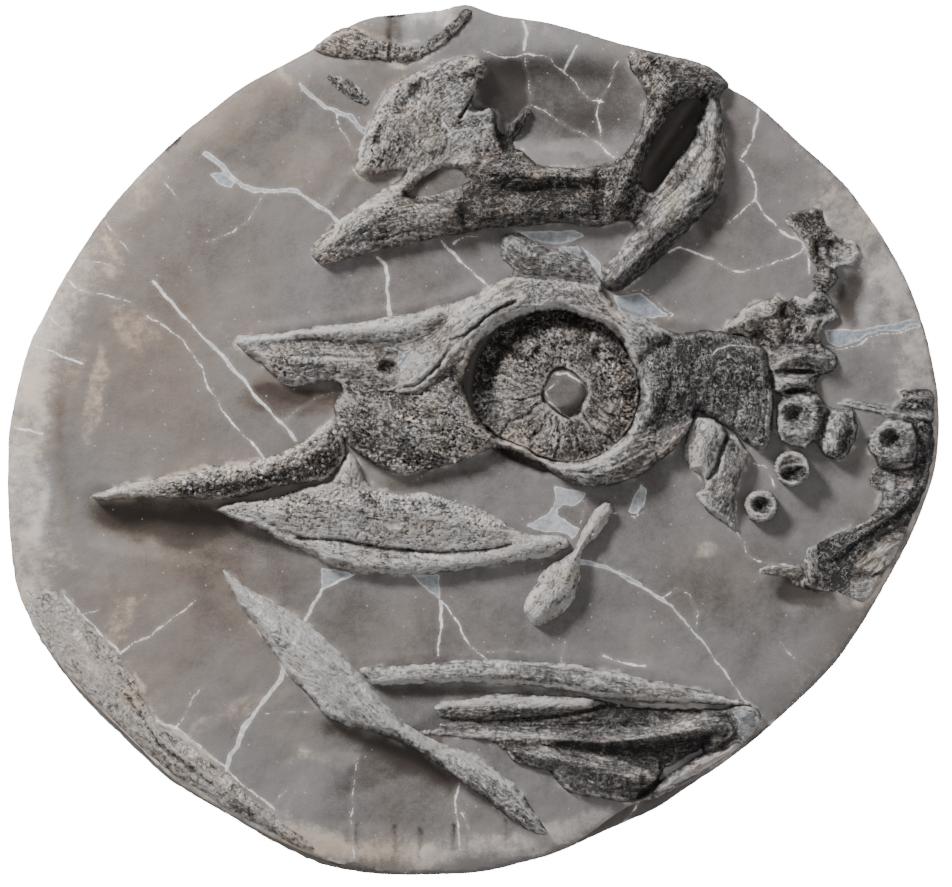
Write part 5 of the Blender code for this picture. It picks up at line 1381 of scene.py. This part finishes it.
def veined(tree, colour, rough, colours, strength):
    """Colour and roughness with the mineral veins laid over them."""
    pale, vein_white, vein_blue = colours
    vein = node_in(tree, "ShaderNodeGroup", {"Raggedness": VEIN_RAGGEDNESS},
                   node_tree=bpy.data.node_groups["mineral_veins"])
    place = tree.nodes.new("ShaderNodeTexCoord").outputs["Object"]
    fill = mix_in(tree, vein.outputs["Tone"], (*vein_white, 1), (*vein_blue, 1))
    fill = mix_in(tree, times(tree, vein.outputs["Border"], 0.55), fill, (*vein_white, 1))
    cloud = map_in(tree, noise_in(tree, place, 500.0, 5.0, 0.7), 0.3, 0.7, 0.62, 1.10)
    fill = mix_in(tree, 1.0, fill, cloud, 'MULTIPLY')
    colour = mix_in(tree, times(tree, vein.outputs["Halo"], 0.09), colour, (*pale, 1))
    faded = map_in(tree, noise_in(tree, place, 130.0, 3.0), 0.30, 0.60, 0.72, 1.0)
    mask = times(tree, vein.outputs["Mask"], times(tree, faded, strength), True)
    colour = mix_in(tree, mask, colour, fill)
    return colour, minus(tree, rough, times(tree, mask, 0.12))


def new_material(name):
    """A material's tree, its shader and its Object coordinates."""
    material = bpy.data.materials.new(name)
    material.use_nodes = True
    tree = material.node_tree
    return tree, tree.nodes["Principled BSDF"], tree.nodes.new("ShaderNodeTexCoord").outputs["Object"]


def finish(tree, shader, colour, rough, height, bump):
    """Links colour, roughness and a bump of the given depth in metres."""
    tree.links.new(colour, shader.inputs["Base Color"])
    tree.links.new(rough, shader.inputs["Roughness"])
    relief = node_in(tree, "ShaderNodeBump", {"Strength": 1.0, "Distance": bump, "Height": height})
    tree.links.new(relief.outputs["Normal"], shader.inputs["Normal"])


def matrix_material(colours):
    """Fine-grained limestone, scraped smooth, with clouds, specks, stains, the painted shade that its tone
    and warmth attributes carry, and mineral veins.
    """
    tree, shader, place = new_material("fossil_matrix")
    grain = node_in(tree, "ShaderNodeGroup", {"Scale": MATRIX_GRAIN},
                    node_tree=bpy.data.node_groups["stone_grain"])
    clouds = minus(tree, noise_in(tree, place, 40.0, 9.0, 0.68), 0.5)
    tone = plus(tree, attribute_in(tree, "tone"), times(tree, clouds, 0.42))
    spread = minus(tree, grain.outputs["Speckle"], 0.5)
    tone = plus(tree, tone, times(tree, spread, 0.10))
    coarse = minus(tree, noise_in(tree, place, 260.0, 5.0, 0.7), 0.5)
    weathered = map_in(tree, attribute_in(tree, "tone"), 0.40, 0.62)
    tone = plus(tree, tone, times(tree, coarse,
                                              times(tree, weathered, 0.85)))
    colour = tone_ramp(tree, tone, colours.matrix_dark, colours.matrix_middle, colours.matrix_pale)
    colour = stained(tree, colour, colours.warm)
    specks = node_in(tree, "ShaderNodeTexVoronoi", {"Vector": place, "Scale": 210.0})
    dots = times(tree, map_in(tree, specks.outputs["Distance"], 0.10, 0.04), 0.5)
    colour = mix_in(tree, dots, colour, (*colours.matrix_pale, 1))
    rough = map_in(tree, noise_in(tree, place, 160.0), 0.3, 0.7, 0.50, 0.66)
    colour, rough = veined(tree, colour, rough,
                           (colours.matrix_pale, colours.vein_white, colours.vein_blue), 1.0)
    height = plus(tree, grain.outputs["Height"], times(tree, coarse, weathered))
    finish(tree, shader, colour, rough, height, MATRIX_BUMP)


def bone_material(colours):
    """Fossil bone: fibres along the grain, fine grain, pale mineral threads, the painted shade and
    highlight that its tone attribute carries, and the veins that cross it.
    """
    tree, shader, place = new_material("fossil_bone")
    grain = node_in(tree, "ShaderNodeGroup", {"Scale": BONE_GRAIN},
                    node_tree=bpy.data.node_groups["stone_grain"])
    fibre = node_in(tree, "ShaderNodeGroup", node_tree=bpy.data.node_groups["bone_fibres"])
    rugged = attribute_in(tree, "rugged")
    wander = minus(tree, noise_in(tree, place, 90.0, 6.0, 0.66), 0.5)
    tone = plus(tree, attribute_in(tree, "tone"), times(tree, wander, 0.36))
    spread = minus(tree, grain.outputs["Speckle"], 0.5)
    speckle = map_in(tree, rugged, 0.0, 0.6, 0.26, 0.44)
    tone = plus(tree, tone, times(tree, spread, speckle))
    streak = minus(tree, fibre.outputs["Fibres"], 0.5)
    tone = plus(tree, tone, times(tree, streak, 0.48))
    pitted = times(tree, fibre.outputs["Pores"], map_in(tree, rugged, 0.0, 0.5, 0.12, 0.40))
    tone = minus(tree, tone, pitted)
    colour = tone_ramp(tree, tone, colours.bone_dark, colours.bone_middle, colours.bone_pale)
    colour = stained(tree, colour, colours.warm)
    threads = times(tree, fibre.outputs["Threads"], map_in(tree, rugged, 0.0, 0.45, 0.15, 0.75))
    colour = mix_in(tree, threads, colour, (*colours.bone_pale, 1))
    rough = map_in(tree, noise_in(tree, place, 160.0), 0.3, 0.7, 0.52, 0.70)
    colour, rough = veined(tree, colour, rough,
                           (colours.bone_pale, colours.vein_white, colours.vein_blue), 0.85)
    height = plus(tree, grain.outputs["Height"],
                     times(tree, fibre.outputs["Fibres"], 0.8))
    finish(tree, shader, colour, rough, height, BONE_BUMP)


def colour_property(name, description, default):
    """A colour setting with its default."""
    return FloatVectorProperty(name=name, description=description, subtype='COLOR', size=3, min=0, max=1,
                               default=default)


class FossilColours(bpy.types.PropertyGroup):
    # The dark colours also stand for painted shade in hollows, pits and furrows, the pale bone for painted
    # highlight on crests, and the stain tint also browns the painted shade under the bones
    matrix_dark: colour_property("Matrix dark", "Matrix in hollows", (0.046, 0.037, 0.033))
    matrix_middle: colour_property("Matrix", "Fresh worked matrix", (0.204, 0.191, 0.187))
    matrix_pale: colour_property("Matrix pale", "Weathered matrix", (0.570, 0.515, 0.475))
    bone_dark: colour_property("Bone dark", "Bone in pits and furrows", (0.016, 0.014, 0.013))
    bone_middle: colour_property("Bone", "Bone between pits and crests", (0.166, 0.156, 0.152))
    bone_pale: colour_property("Bone pale", "Worn bone on crests", (0.680, 0.655, 0.640))
    warm: colour_property("Stain", "Brown stain, as a tint", (1.0, 0.80, 0.61))
    vein_white: colour_property("White vein", "White mineral of the veins", (0.940, 0.915, 0.900))
    vein_blue: colour_property("Blue vein", "Blue-grey mineral of the veins", (0.330, 0.365, 0.405))


class FossilSizes(bpy.types.PropertyGroup):
    top_spacing: FloatProperty(name="Top spacing", description="Grid step of the matrix, in millimetres",
                               default=1.35, min=0.8, max=6.0)
    vein_spacing: FloatProperty(name="Vein spacing",
                                description="Grid step along the veins, in millimetres",
                                default=0.65, min=0.3, max=3.0)
    bone_spacing: FloatProperty(name="Bone spacing", description="Grid step of the bones, in millimetres",
                                default=0.48, min=0.3, max=3.0)
    light_power: FloatProperty(name="Key light", description="Power of the key light", default=36.0,
                               subtype='POWER')


class FossilBuild:
    """Shared by the operators of the bones."""

    groups = ()
    single = ()

    def execute(self, context):
        spacing = context.scene.fossil_sizes.bone_spacing
        material = bpy.data.materials["fossil_bone"]
        for name in self.groups:
            members, outline, openings = GROUPS[name]
            build_bones(name, members, [outline] + openings, spacing, material)
        for name in self.single:
            build_bones(name, (name,), node_loops(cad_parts[name]), spacing, material)
        return {'FINISHED'}


class FOSSIL_OT_materials(bpy.types.Operator):
    """Makes the stone and bone materials"""
    bl_idname = "fossil.materials"
    bl_label = "Materials"

    def execute(self, context):
        colours = context.scene.fossil_colours
        grain_group()
        fibre_group()
        vein_group()
        matrix_material(colours)
        bone_material(colours)
        return {'FINISHED'}


class FOSSIL_OT_matrix(bpy.types.Operator):
    """Builds the block of matrix with its worked top, rough sides and flat base"""
    bl_idname = "fossil.matrix"
    bl_label = "Matrix block"

    def execute(self, context):
        sizes = context.scene.fossil_sizes
        build_matrix(sizes.top_spacing / UNIT_MM, sizes.vein_spacing / UNIT_MM)
        return {'FINISHED'}


def top_grid(coarse, fine):
    """Places of the worked face: a coarse grid, and a fine one along the veins."""
    x, y = grid_inside([RIM], coarse, 0.6 * coarse)
    edge = vein_fields(x, y)[0]
    far = edge > 1.5 * coarse * UNIT_MM
    fine_x, fine_y = grid_inside([RIM], fine, fine)
    near = np.zeros(fine_x.shape, bool)
    for width, _, line in VEINS:
        xs, ys = zip(*line)
        reach = width / 2 + 3.5
        close = (fine_x > min(xs) - reach) & (fine_x < max(xs) + reach)
        close &= (fine_y > min(ys) - reach) & (fine_y < max(ys) + reach)
        spots = np.flatnonzero(close)
        distance = line_distance(fine_x[spots], fine_y[spots], line)[0]
        near[spots[distance < reach]] = True
    for _, outline in FILLINGS:
        near |= line_distance(fine_x, fine_y, outline, True)[0] < 3.0
    return np.concatenate((x[far], fine_x[near])), np.concatenate((y[far], fine_y[near]))


# Tone of the worked face before its stains, roughness of the sides in picture units, heights of the rings
# of the sides as shares of the block's, and what the base's inner points get
TOP_TONE = 0.34
SIDE_ROUGHNESS = 2.4
RING_SHARES = (0.90, 0.84, 0.78, 0.71, 0.63, 0.55, 0.46, 0.38, 0.30, 0.22, 0.15, 0.09, 0.045, 0.015, 0.0)
BASE_SHARE = 0.82
BASE_VALUES = {"z": -TOP / MM, "tone": 0.32, "warmth": 0.6, "vein_edge": NO_VEIN, "vein_tone": 0.0}


def side_rings():
    """Share of the height, size and nearness to the rim of each ring of the sides, from the rim down."""
    rings = [(0.944, 1.0, 0.94)]
    for share in RING_SHARES:
        if share >= BELLY_SHARE:
            rings.append((share, 1.0, ((share - BELLY_SHARE) / (1 - BELLY_SHARE)) ** 1.6))
        else:
            level = 1 - share / BELLY_SHARE
            rings.append((share, BASE_SHARE + (1 - BASE_SHARE) * math.sqrt(1 - level * level), 0.0))
    return rings


def side_ring(share, size, towards_rim):
    """Places and attributes round one ring of the sides."""
    rim_x, rim_y = np.array(RIM).T
    out_x, out_y = np.array(OUTLINE).T
    ring_x = out_x + (rim_x - out_x) * towards_rim
    ring_y = out_y + (rim_y - out_y) * towards_rim
    rough = SIDE_ROUGHNESS * layered_noise(ring_x / 26 + share * 7, ring_y / 26 - share * 5, 91, 4)
    rough *= min(1.0, share * 8) * (1 - towards_rim * 0.6)
    scale = size - np.abs(rough) / 470
    x = CENTRE_X + (ring_x - CENTRE_X) * scale
    y = CENTRE_Y + (ring_y - CENTRE_Y) * scale
    vein_edge, vein_tone = vein_fields(x, y)
    warmth = np.full(len(x), 0.5) + 0.5 * smooth_step(500, 300, ring_x)
    return {
        "x": x, "y": y, "z": np.full(len(x), (share - 1) * TOP / MM),
        "tone": 0.06 * layered_noise(ring_x / 20, ring_y / 20 + share * 9, 95, 4),
        "warmth": warmth + 0.2 * value_noise(ring_x / 40, ring_y / 40, 97),
        "vein_edge": np.where(share > BELLY_SHARE, vein_edge, NO_VEIN), "vein_tone": vein_tone,
    }


def build_matrix(coarse, fine):
    """The block: its worked face, rings of rough sides and a flat base, in one closed piece."""
    inner_x, inner_y = top_grid(coarse, fine)
    x, y, triangles = fill_triangles([RIM], inner_x, inner_y)
    vein_edge, vein_tone = vein_fields(x, y)
    tone, warmth = stain_and_shade_fields(x, y)
    tone += TOP_TONE + 0.05 * layered_noise(x / 60, y / 60, 81, 4)
    rows = [{"x": x, "y": y, "z": ground(x, y), "tone": tone, "warmth": warmth, "vein_edge": vein_edge,
             "vein_tone": vein_tone}]
    rows += [side_ring(*ring) for ring in side_rings()]
    last = rows[-1]
    base_loop = list(zip(last["x"].tolist(), last["y"].tolist()))
    floor_x, floor_y = grid_inside([base_loop], 14.0, 8.0)
    base_x, base_y, base_triangles = fill_triangles([base_loop], floor_x, floor_y)
    spare = len(base_x) - len(base_loop)
    for key, value in BASE_VALUES.items():
        last[key] = np.concatenate((last[key], np.full(spare, value)))
    last.update(x=base_x, y=base_y)
    starts = np.cumsum([0] + [len(row["x"]) for row in rows])
    faces = triangles.tolist()
    outward = loop_area(RIM) > 0
    for upper, lower in zip(starts, starts[1:-1]):
        for index in range(len(RIM)):
            after = (index + 1) % len(RIM)
            quad = (upper + index, upper + after, lower + after, lower + index)
            faces.append(tuple(int(corner) for corner in (quad if outward else quad[::-1])))
    faces += (base_triangles[:, ::-1] + int(starts[-2])).tolist()
    joined = {key: np.concatenate([row[key] for row in rows]) for key in rows[0]}
    metres_x, metres_y = plan_metres(joined["x"], joined["y"])
    corners = np.column_stack((metres_x, metres_y, TOP + joined["z"] * MM))
    fields = {
        "tone": np.clip(joined["tone"], 0, 1), "warmth": np.clip(joined["warmth"], 0, 1),
        "vein_edge": joined["vein_edge"], "vein_tone": joined["vein_tone"],
    }
    add_piece("matrix_block", corners, faces, fields, bpy.data.materials["fossil_matrix"],
              ["matrix_slab"])


def lump_tree():
    """Geometry Nodes that sow low lumps over a mesh: spacing, size and seed are its inputs."""
    tree = bpy.data.node_groups.new("bone_lumps", 'GeometryNodeTree')
    face = tree.interface
    face.new_socket("Geometry", in_out='INPUT', socket_type='NodeSocketGeometry')
    face.new_socket("Spacing", in_out='INPUT', socket_type='NodeSocketFloat')
    face.new_socket("Size", in_out='INPUT', socket_type='NodeSocketFloat')
    face.new_socket("Seed", in_out='INPUT', socket_type='NodeSocketInt')
    face.new_socket("Material", in_out='INPUT', socket_type='NodeSocketMaterial')
    face.new_socket("Geometry", in_out='OUTPUT', socket_type='NodeSocketGeometry')
    start = tree.nodes.new("NodeGroupInput").outputs
    end = tree.nodes.new("NodeGroupOutput")
    points = node_in(tree, "GeometryNodeDistributePointsOnFaces",
                     {"Mesh": start["Geometry"], "Distance Min": start["Spacing"], "Density Max": 1e7,
                      "Seed": start["Seed"]}, distribute_method='POISSON')
    lump = node_in(tree, "GeometryNodeMeshIcoSphere", {"Radius": 1.0, "Subdivisions": 2})
    turn = node_in(tree, "FunctionNodeRandomValue", {0: (-0.5, -0.5, 0.0), 1: (0.5, 0.5, 6.28),
                                                    "Seed": start["Seed"]}, data_type='FLOAT_VECTOR')
    stretch = node_in(tree, "FunctionNodeRandomValue", {0: (0.55, 0.55, 0.45), 1: (1.25, 1.0, 0.95),
                                                       "Seed": start["Seed"]}, data_type='FLOAT_VECTOR')
    size = node_in(tree, "ShaderNodeVectorMath", {0: stretch.outputs[0], "Scale": start["Size"]},
                   operation='SCALE')
    placed = node_in(tree, "GeometryNodeInstanceOnPoints",
                     {"Points": points.outputs["Points"], "Instance": lump.outputs["Mesh"],
                      "Rotation": turn.outputs[0], "Scale": size.outputs[0]})
    solid = node_in(tree, "GeometryNodeRealizeInstances", {"Geometry": placed.outputs[0]})
    coated = node_in(tree, "GeometryNodeSetMaterial", {"Geometry": solid.outputs[0],
                                                       "Material": start["Material"]})
    smooth = node_in(tree, "GeometryNodeSetShadeSmooth", {0: coated.outputs[0]})
    tree.links.new(smooth.outputs[0], end.inputs["Geometry"])
    return tree


# Fields of lumps: surface that carries them, spacing and size in millimetres, outline
LUMP_FIELDS = {
    "jaw_bar_lumps": ("upper_jaw_bar_surface", 2.1, 1.0, [(176, 482), (211, 468), (240, 466), (285, 454),
        (318, 434), (334, 428), (342, 445), (338, 465), (318, 478), (280, 484), (230, 496), (190, 496)]),
    "jaw_blade_lumps": ("lower_jaw_blade_surface", 2.0, 0.75, [(250, 504), (290, 495), (330, 487),
        (370, 492), (420, 495), (470, 507), (508, 527), (480, 526), (440, 514), (380, 508), (330, 504),
        (290, 511)]),
    "maxilla_lumps": ("main_skull_surface", 2.4, 0.8, [(338, 420), (356, 436), (380, 452), (410, 460),
        (440, 456), (474, 447), (474, 455), (440, 467), (407, 472), (369, 460), (345, 438)]),
}


# Attributes that the bone's material reads on the lumps
LUMP_VALUES = (("tone", 0.36), ("warmth", 0.4), ("rugged", 0.3), ("vein_edge", NO_VEIN))
LUMP_MOTTLE = 0.24


def build_lumps(name, tree, seed):
    """Lumps over one part of a finished surface, made a plain mesh of their own."""
    carrier, spacing, size, outline = LUMP_FIELDS[name]
    piece = bpy.data.objects[carrier]
    spots = np.empty(len(piece.data.vertices) * 3)
    piece.data.vertices.foreach_get("co", spots)
    spots = spots.reshape(-1, 3)
    x, y = picture_units(spots[:, 0], spots[:, 1])
    kept = inside(x, y, outline) & (spots[:, 2] > TOP - 0.5 * MM)
    patch = bmesh.new()
    patch.from_mesh(piece.data)
    patch.verts.ensure_lookup_table()
    bmesh.ops.delete(patch, geom=[patch.verts[int(spot)] for spot in np.flatnonzero(~kept)],
                     context='VERTS')
    mesh = bpy.data.meshes.new(name)
    patch.to_mesh(mesh)
    patch.free()
    field = bpy.data.objects.new(name, mesh)
    bpy.context.scene.collection.objects.link(field)
    modifier = field.modifiers.new("lumps", 'NODES')
    modifier.node_group = tree
    sockets = {item.name: item.identifier for item in tree.interface.items_tree if item.in_out == 'INPUT'}
    modifier[sockets["Spacing"]] = spacing * MM
    modifier[sockets["Size"]] = size * MM
    modifier[sockets["Seed"]] = seed
    modifier[sockets["Material"]] = bpy.data.materials["fossil_bone"]
    shaped = field.evaluated_get(bpy.context.evaluated_depsgraph_get())
    plain = bpy.data.meshes.new_from_object(shaped)
    spots = np.empty(len(plain.vertices) * 3)
    plain.vertices.foreach_get("co", spots)
    x, y = picture_units(*spots.reshape(-1, 3)[:, :2].T)
    for attribute, value in LUMP_VALUES:
        values = np.full(len(x), value)
        if attribute != "vein_edge":
            values += LUMP_MOTTLE * layered_noise(x / 5, y / 5, 401, 2)
        plain.attributes.new(attribute, 'FLOAT', 'POINT').data.foreach_set("value",
                                                                           values.astype(np.float32))
    field.modifiers.remove(modifier)
    field.data = plain
    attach(field, "root")


class FOSSIL_OT_lumps(bpy.types.Operator):
    """Sows the lumps of the jaws and the maxilla"""
    bl_idname = "fossil.lumps"
    bl_label = "Lumps"

    def execute(self, context):
        tree = lump_tree()
        for seed, name in enumerate(LUMP_FIELDS):
            build_lumps(name, tree, seed)
        return {'FINISHED'}


class FOSSIL_OT_main_skull(FossilBuild, bpy.types.Operator):
    """Builds the beak, brow, cheek and eye ring of the main skull"""
    bl_idname = "fossil.main_skull"
    bl_label = "Main skull"
    groups = ("main_skull", "eye_ring")


class FOSSIL_OT_upper_skull(FossilBuild, bpy.types.Operator):
    """Builds the second skull"""
    bl_idname = "fossil.upper_skull"
    bl_label = "Upper skull"
    groups = ("upper_skull",)


class FOSSIL_OT_jaw(FossilBuild, bpy.types.Operator):
    """Builds the lower jaw and the loose bones under it"""
    bl_idname = "fossil.jaw"
    bl_label = "Jaw and loose bones"
    groups = ("upper_jaw_bar", "lower_jaw_blade", "lower_bundle", "slanting_blade", "long_rod")
    single = ("paddle_bone",)


class FOSSIL_OT_neck(FossilBuild, bpy.types.Operator):
    """Builds the vertebrae, arches and quadrates of the neck"""
    bl_idname = "fossil.neck"
    bl_label = "Neck"
    groups = ("neck_column", "neck_base")
    single = ("centrum_2", "centrum_3")


class FOSSIL_OT_rim(FossilBuild, bpy.types.Operator):
    """Builds the bones along the rim"""
    bl_idname = "fossil.rim"
    bl_label = "Rim bones"
    groups = ("right_rim_bones", "left_rim_bone", "top_rim_bone")
    single = ("spongy_oval",)


class FOSSIL_OT_stage(bpy.types.Operator):
    """Sets the floor, the lights and the camera above the block"""
    bl_idname = "fossil.stage"
    bl_label = "Stage"

    def execute(self, context):
        build_floor()
        build_lights(context.scene.fossil_sizes.light_power)
        build_camera()
        return {'FINISHED'}


# Floor: side in metres and how brightly it shows behind the block, to the camera alone
FLOOR_SIZE = 6.0
FLOOR_GLOW = 16.0

# Lights: place in metres and side of the lamp, share of the fill light, strength of the room's light
KEY_PLACE = (-0.80, 0.95, 0.86)
KEY_SIZE = 0.30
FILL_PLACE = (0.9, -0.5, 1.2)
FILL_SIZE = 1.2
FILL_SHARE = 0.10
ROOM_LIGHT = 0.36


def build_floor():
    """A plain pale floor under the block."""
    bpy.ops.mesh.primitive_plane_add(size=FLOOR_SIZE)
    floor = bpy.context.object
    floor.name = "floor"
    material = bpy.data.materials.new("floor_paint")
    material.use_nodes = True
    shader = material.node_tree.nodes["Principled BSDF"]
    shader.inputs["Base Color"].default_value = (0.86, 0.86, 0.86, 1)
    shader.inputs["Roughness"].default_value = 0.9
    shader.inputs["Emission Color"].default_value = (1, 1, 1, 1)
    ray = material.node_tree.nodes.new("ShaderNodeLightPath")
    glow = node_in(material.node_tree, "ShaderNodeMath", {0: ray.outputs["Is Camera Ray"], 1: FLOOR_GLOW},
                   operation='MULTIPLY')
    material.node_tree.links.new(glow.outputs[0], shader.inputs["Emission Strength"])
    floor.data.materials.append(material)


def add_light(name, power, size, place):
    """A square lamp that points at the block."""
    data = bpy.data.lights.new(name, 'AREA')
    data.energy = power
    data.size = size
    light = bpy.data.objects.new(name, data)
    bpy.context.scene.collection.objects.link(light)
    light.location = place
    light.rotation_euler = (-Vector(place)).to_track_quat('-Z', 'Y').to_euler()


def build_lights(power):
    """A key light from the upper left, a weak fill opposite it and an even room light."""
    add_light("key_light", power, KEY_SIZE, KEY_PLACE)
    add_light("fill_light", power * FILL_SHARE, FILL_SIZE, FILL_PLACE)
    world = bpy.data.worlds.new("studio")
    world.use_nodes = True
    world.node_tree.nodes["Background"].inputs["Color"].default_value = (1, 1, 1, 1)
    world.node_tree.nodes["Background"].inputs["Strength"].default_value = ROOM_LIGHT
    bpy.context.scene.world = world


# Size of the view in picture units, and the camera's distance and sensor in metres
PHOTO_WIDTH = 952
PHOTO_HEIGHT = 887
CAMERA_DISTANCE = 3.0
SENSOR = 0.036


def build_camera():
    """A camera straight above, far enough off to see the block almost without perspective."""
    data = bpy.data.cameras.new("camera")
    data.sensor_width = SENSOR * 1000
    data.lens = SENSOR * 1000 * CAMERA_DISTANCE / (PHOTO_WIDTH * UNIT)
    data.clip_end = 20.0
    camera = bpy.data.objects.new("camera", data)
    bpy.context.scene.collection.objects.link(camera)
    x, y = plan_metres(PHOTO_WIDTH / 2, PHOTO_HEIGHT / 2)
    camera.location = (x, y, TOP + CAMERA_DISTANCE)
    bpy.context.scene.camera = camera


class FOSSIL_PT_panel(bpy.types.Panel):
    bl_idname = "FOSSIL_PT_panel"
    bl_label = "Fossil skull slab"
    bl_space_type = 'VIEW_3D'
    bl_region_type = 'UI'
    bl_category = "Fossil"

    def draw(self, context):
        for group in (context.scene.fossil_sizes, context.scene.fossil_colours):
            for name in group.bl_rna.properties.keys():
                if name not in ("rna_type", "name"):
                    self.layout.prop(group, name)
        for operator in OPERATORS:
            self.layout.operator(operator.bl_idname)


OPERATORS = (FOSSIL_OT_materials, FOSSIL_OT_matrix, FOSSIL_OT_main_skull, FOSSIL_OT_upper_skull,
             FOSSIL_OT_jaw, FOSSIL_OT_neck, FOSSIL_OT_rim, FOSSIL_OT_lumps, FOSSIL_OT_stage)
CLASSES = (FossilColours, FossilSizes) + OPERATORS + (FOSSIL_PT_panel,)


def register():
    for item in CLASSES:
        bpy.utils.register_class(item)
    bpy.types.Scene.fossil_colours = PointerProperty(type=FossilColours)
    bpy.types.Scene.fossil_sizes = PointerProperty(type=FossilSizes)


def unregister():
    del bpy.types.Scene.fossil_sizes
    del bpy.types.Scene.fossil_colours
    for item in reversed(CLASSES):
        bpy.utils.unregister_class(item)


def main():
    """Builds everything."""
    register()
    bpy.ops.fossil.materials()
    bpy.ops.fossil.matrix()
    bpy.ops.fossil.main_skull()
    bpy.ops.fossil.upper_skull()
    bpy.ops.fossil.jaw()
    bpy.ops.fossil.neck()
    bpy.ops.fossil.rim()
    bpy.ops.fossil.lumps()
    bpy.ops.fossil.stage()


if __name__ == "__main__":
    main()
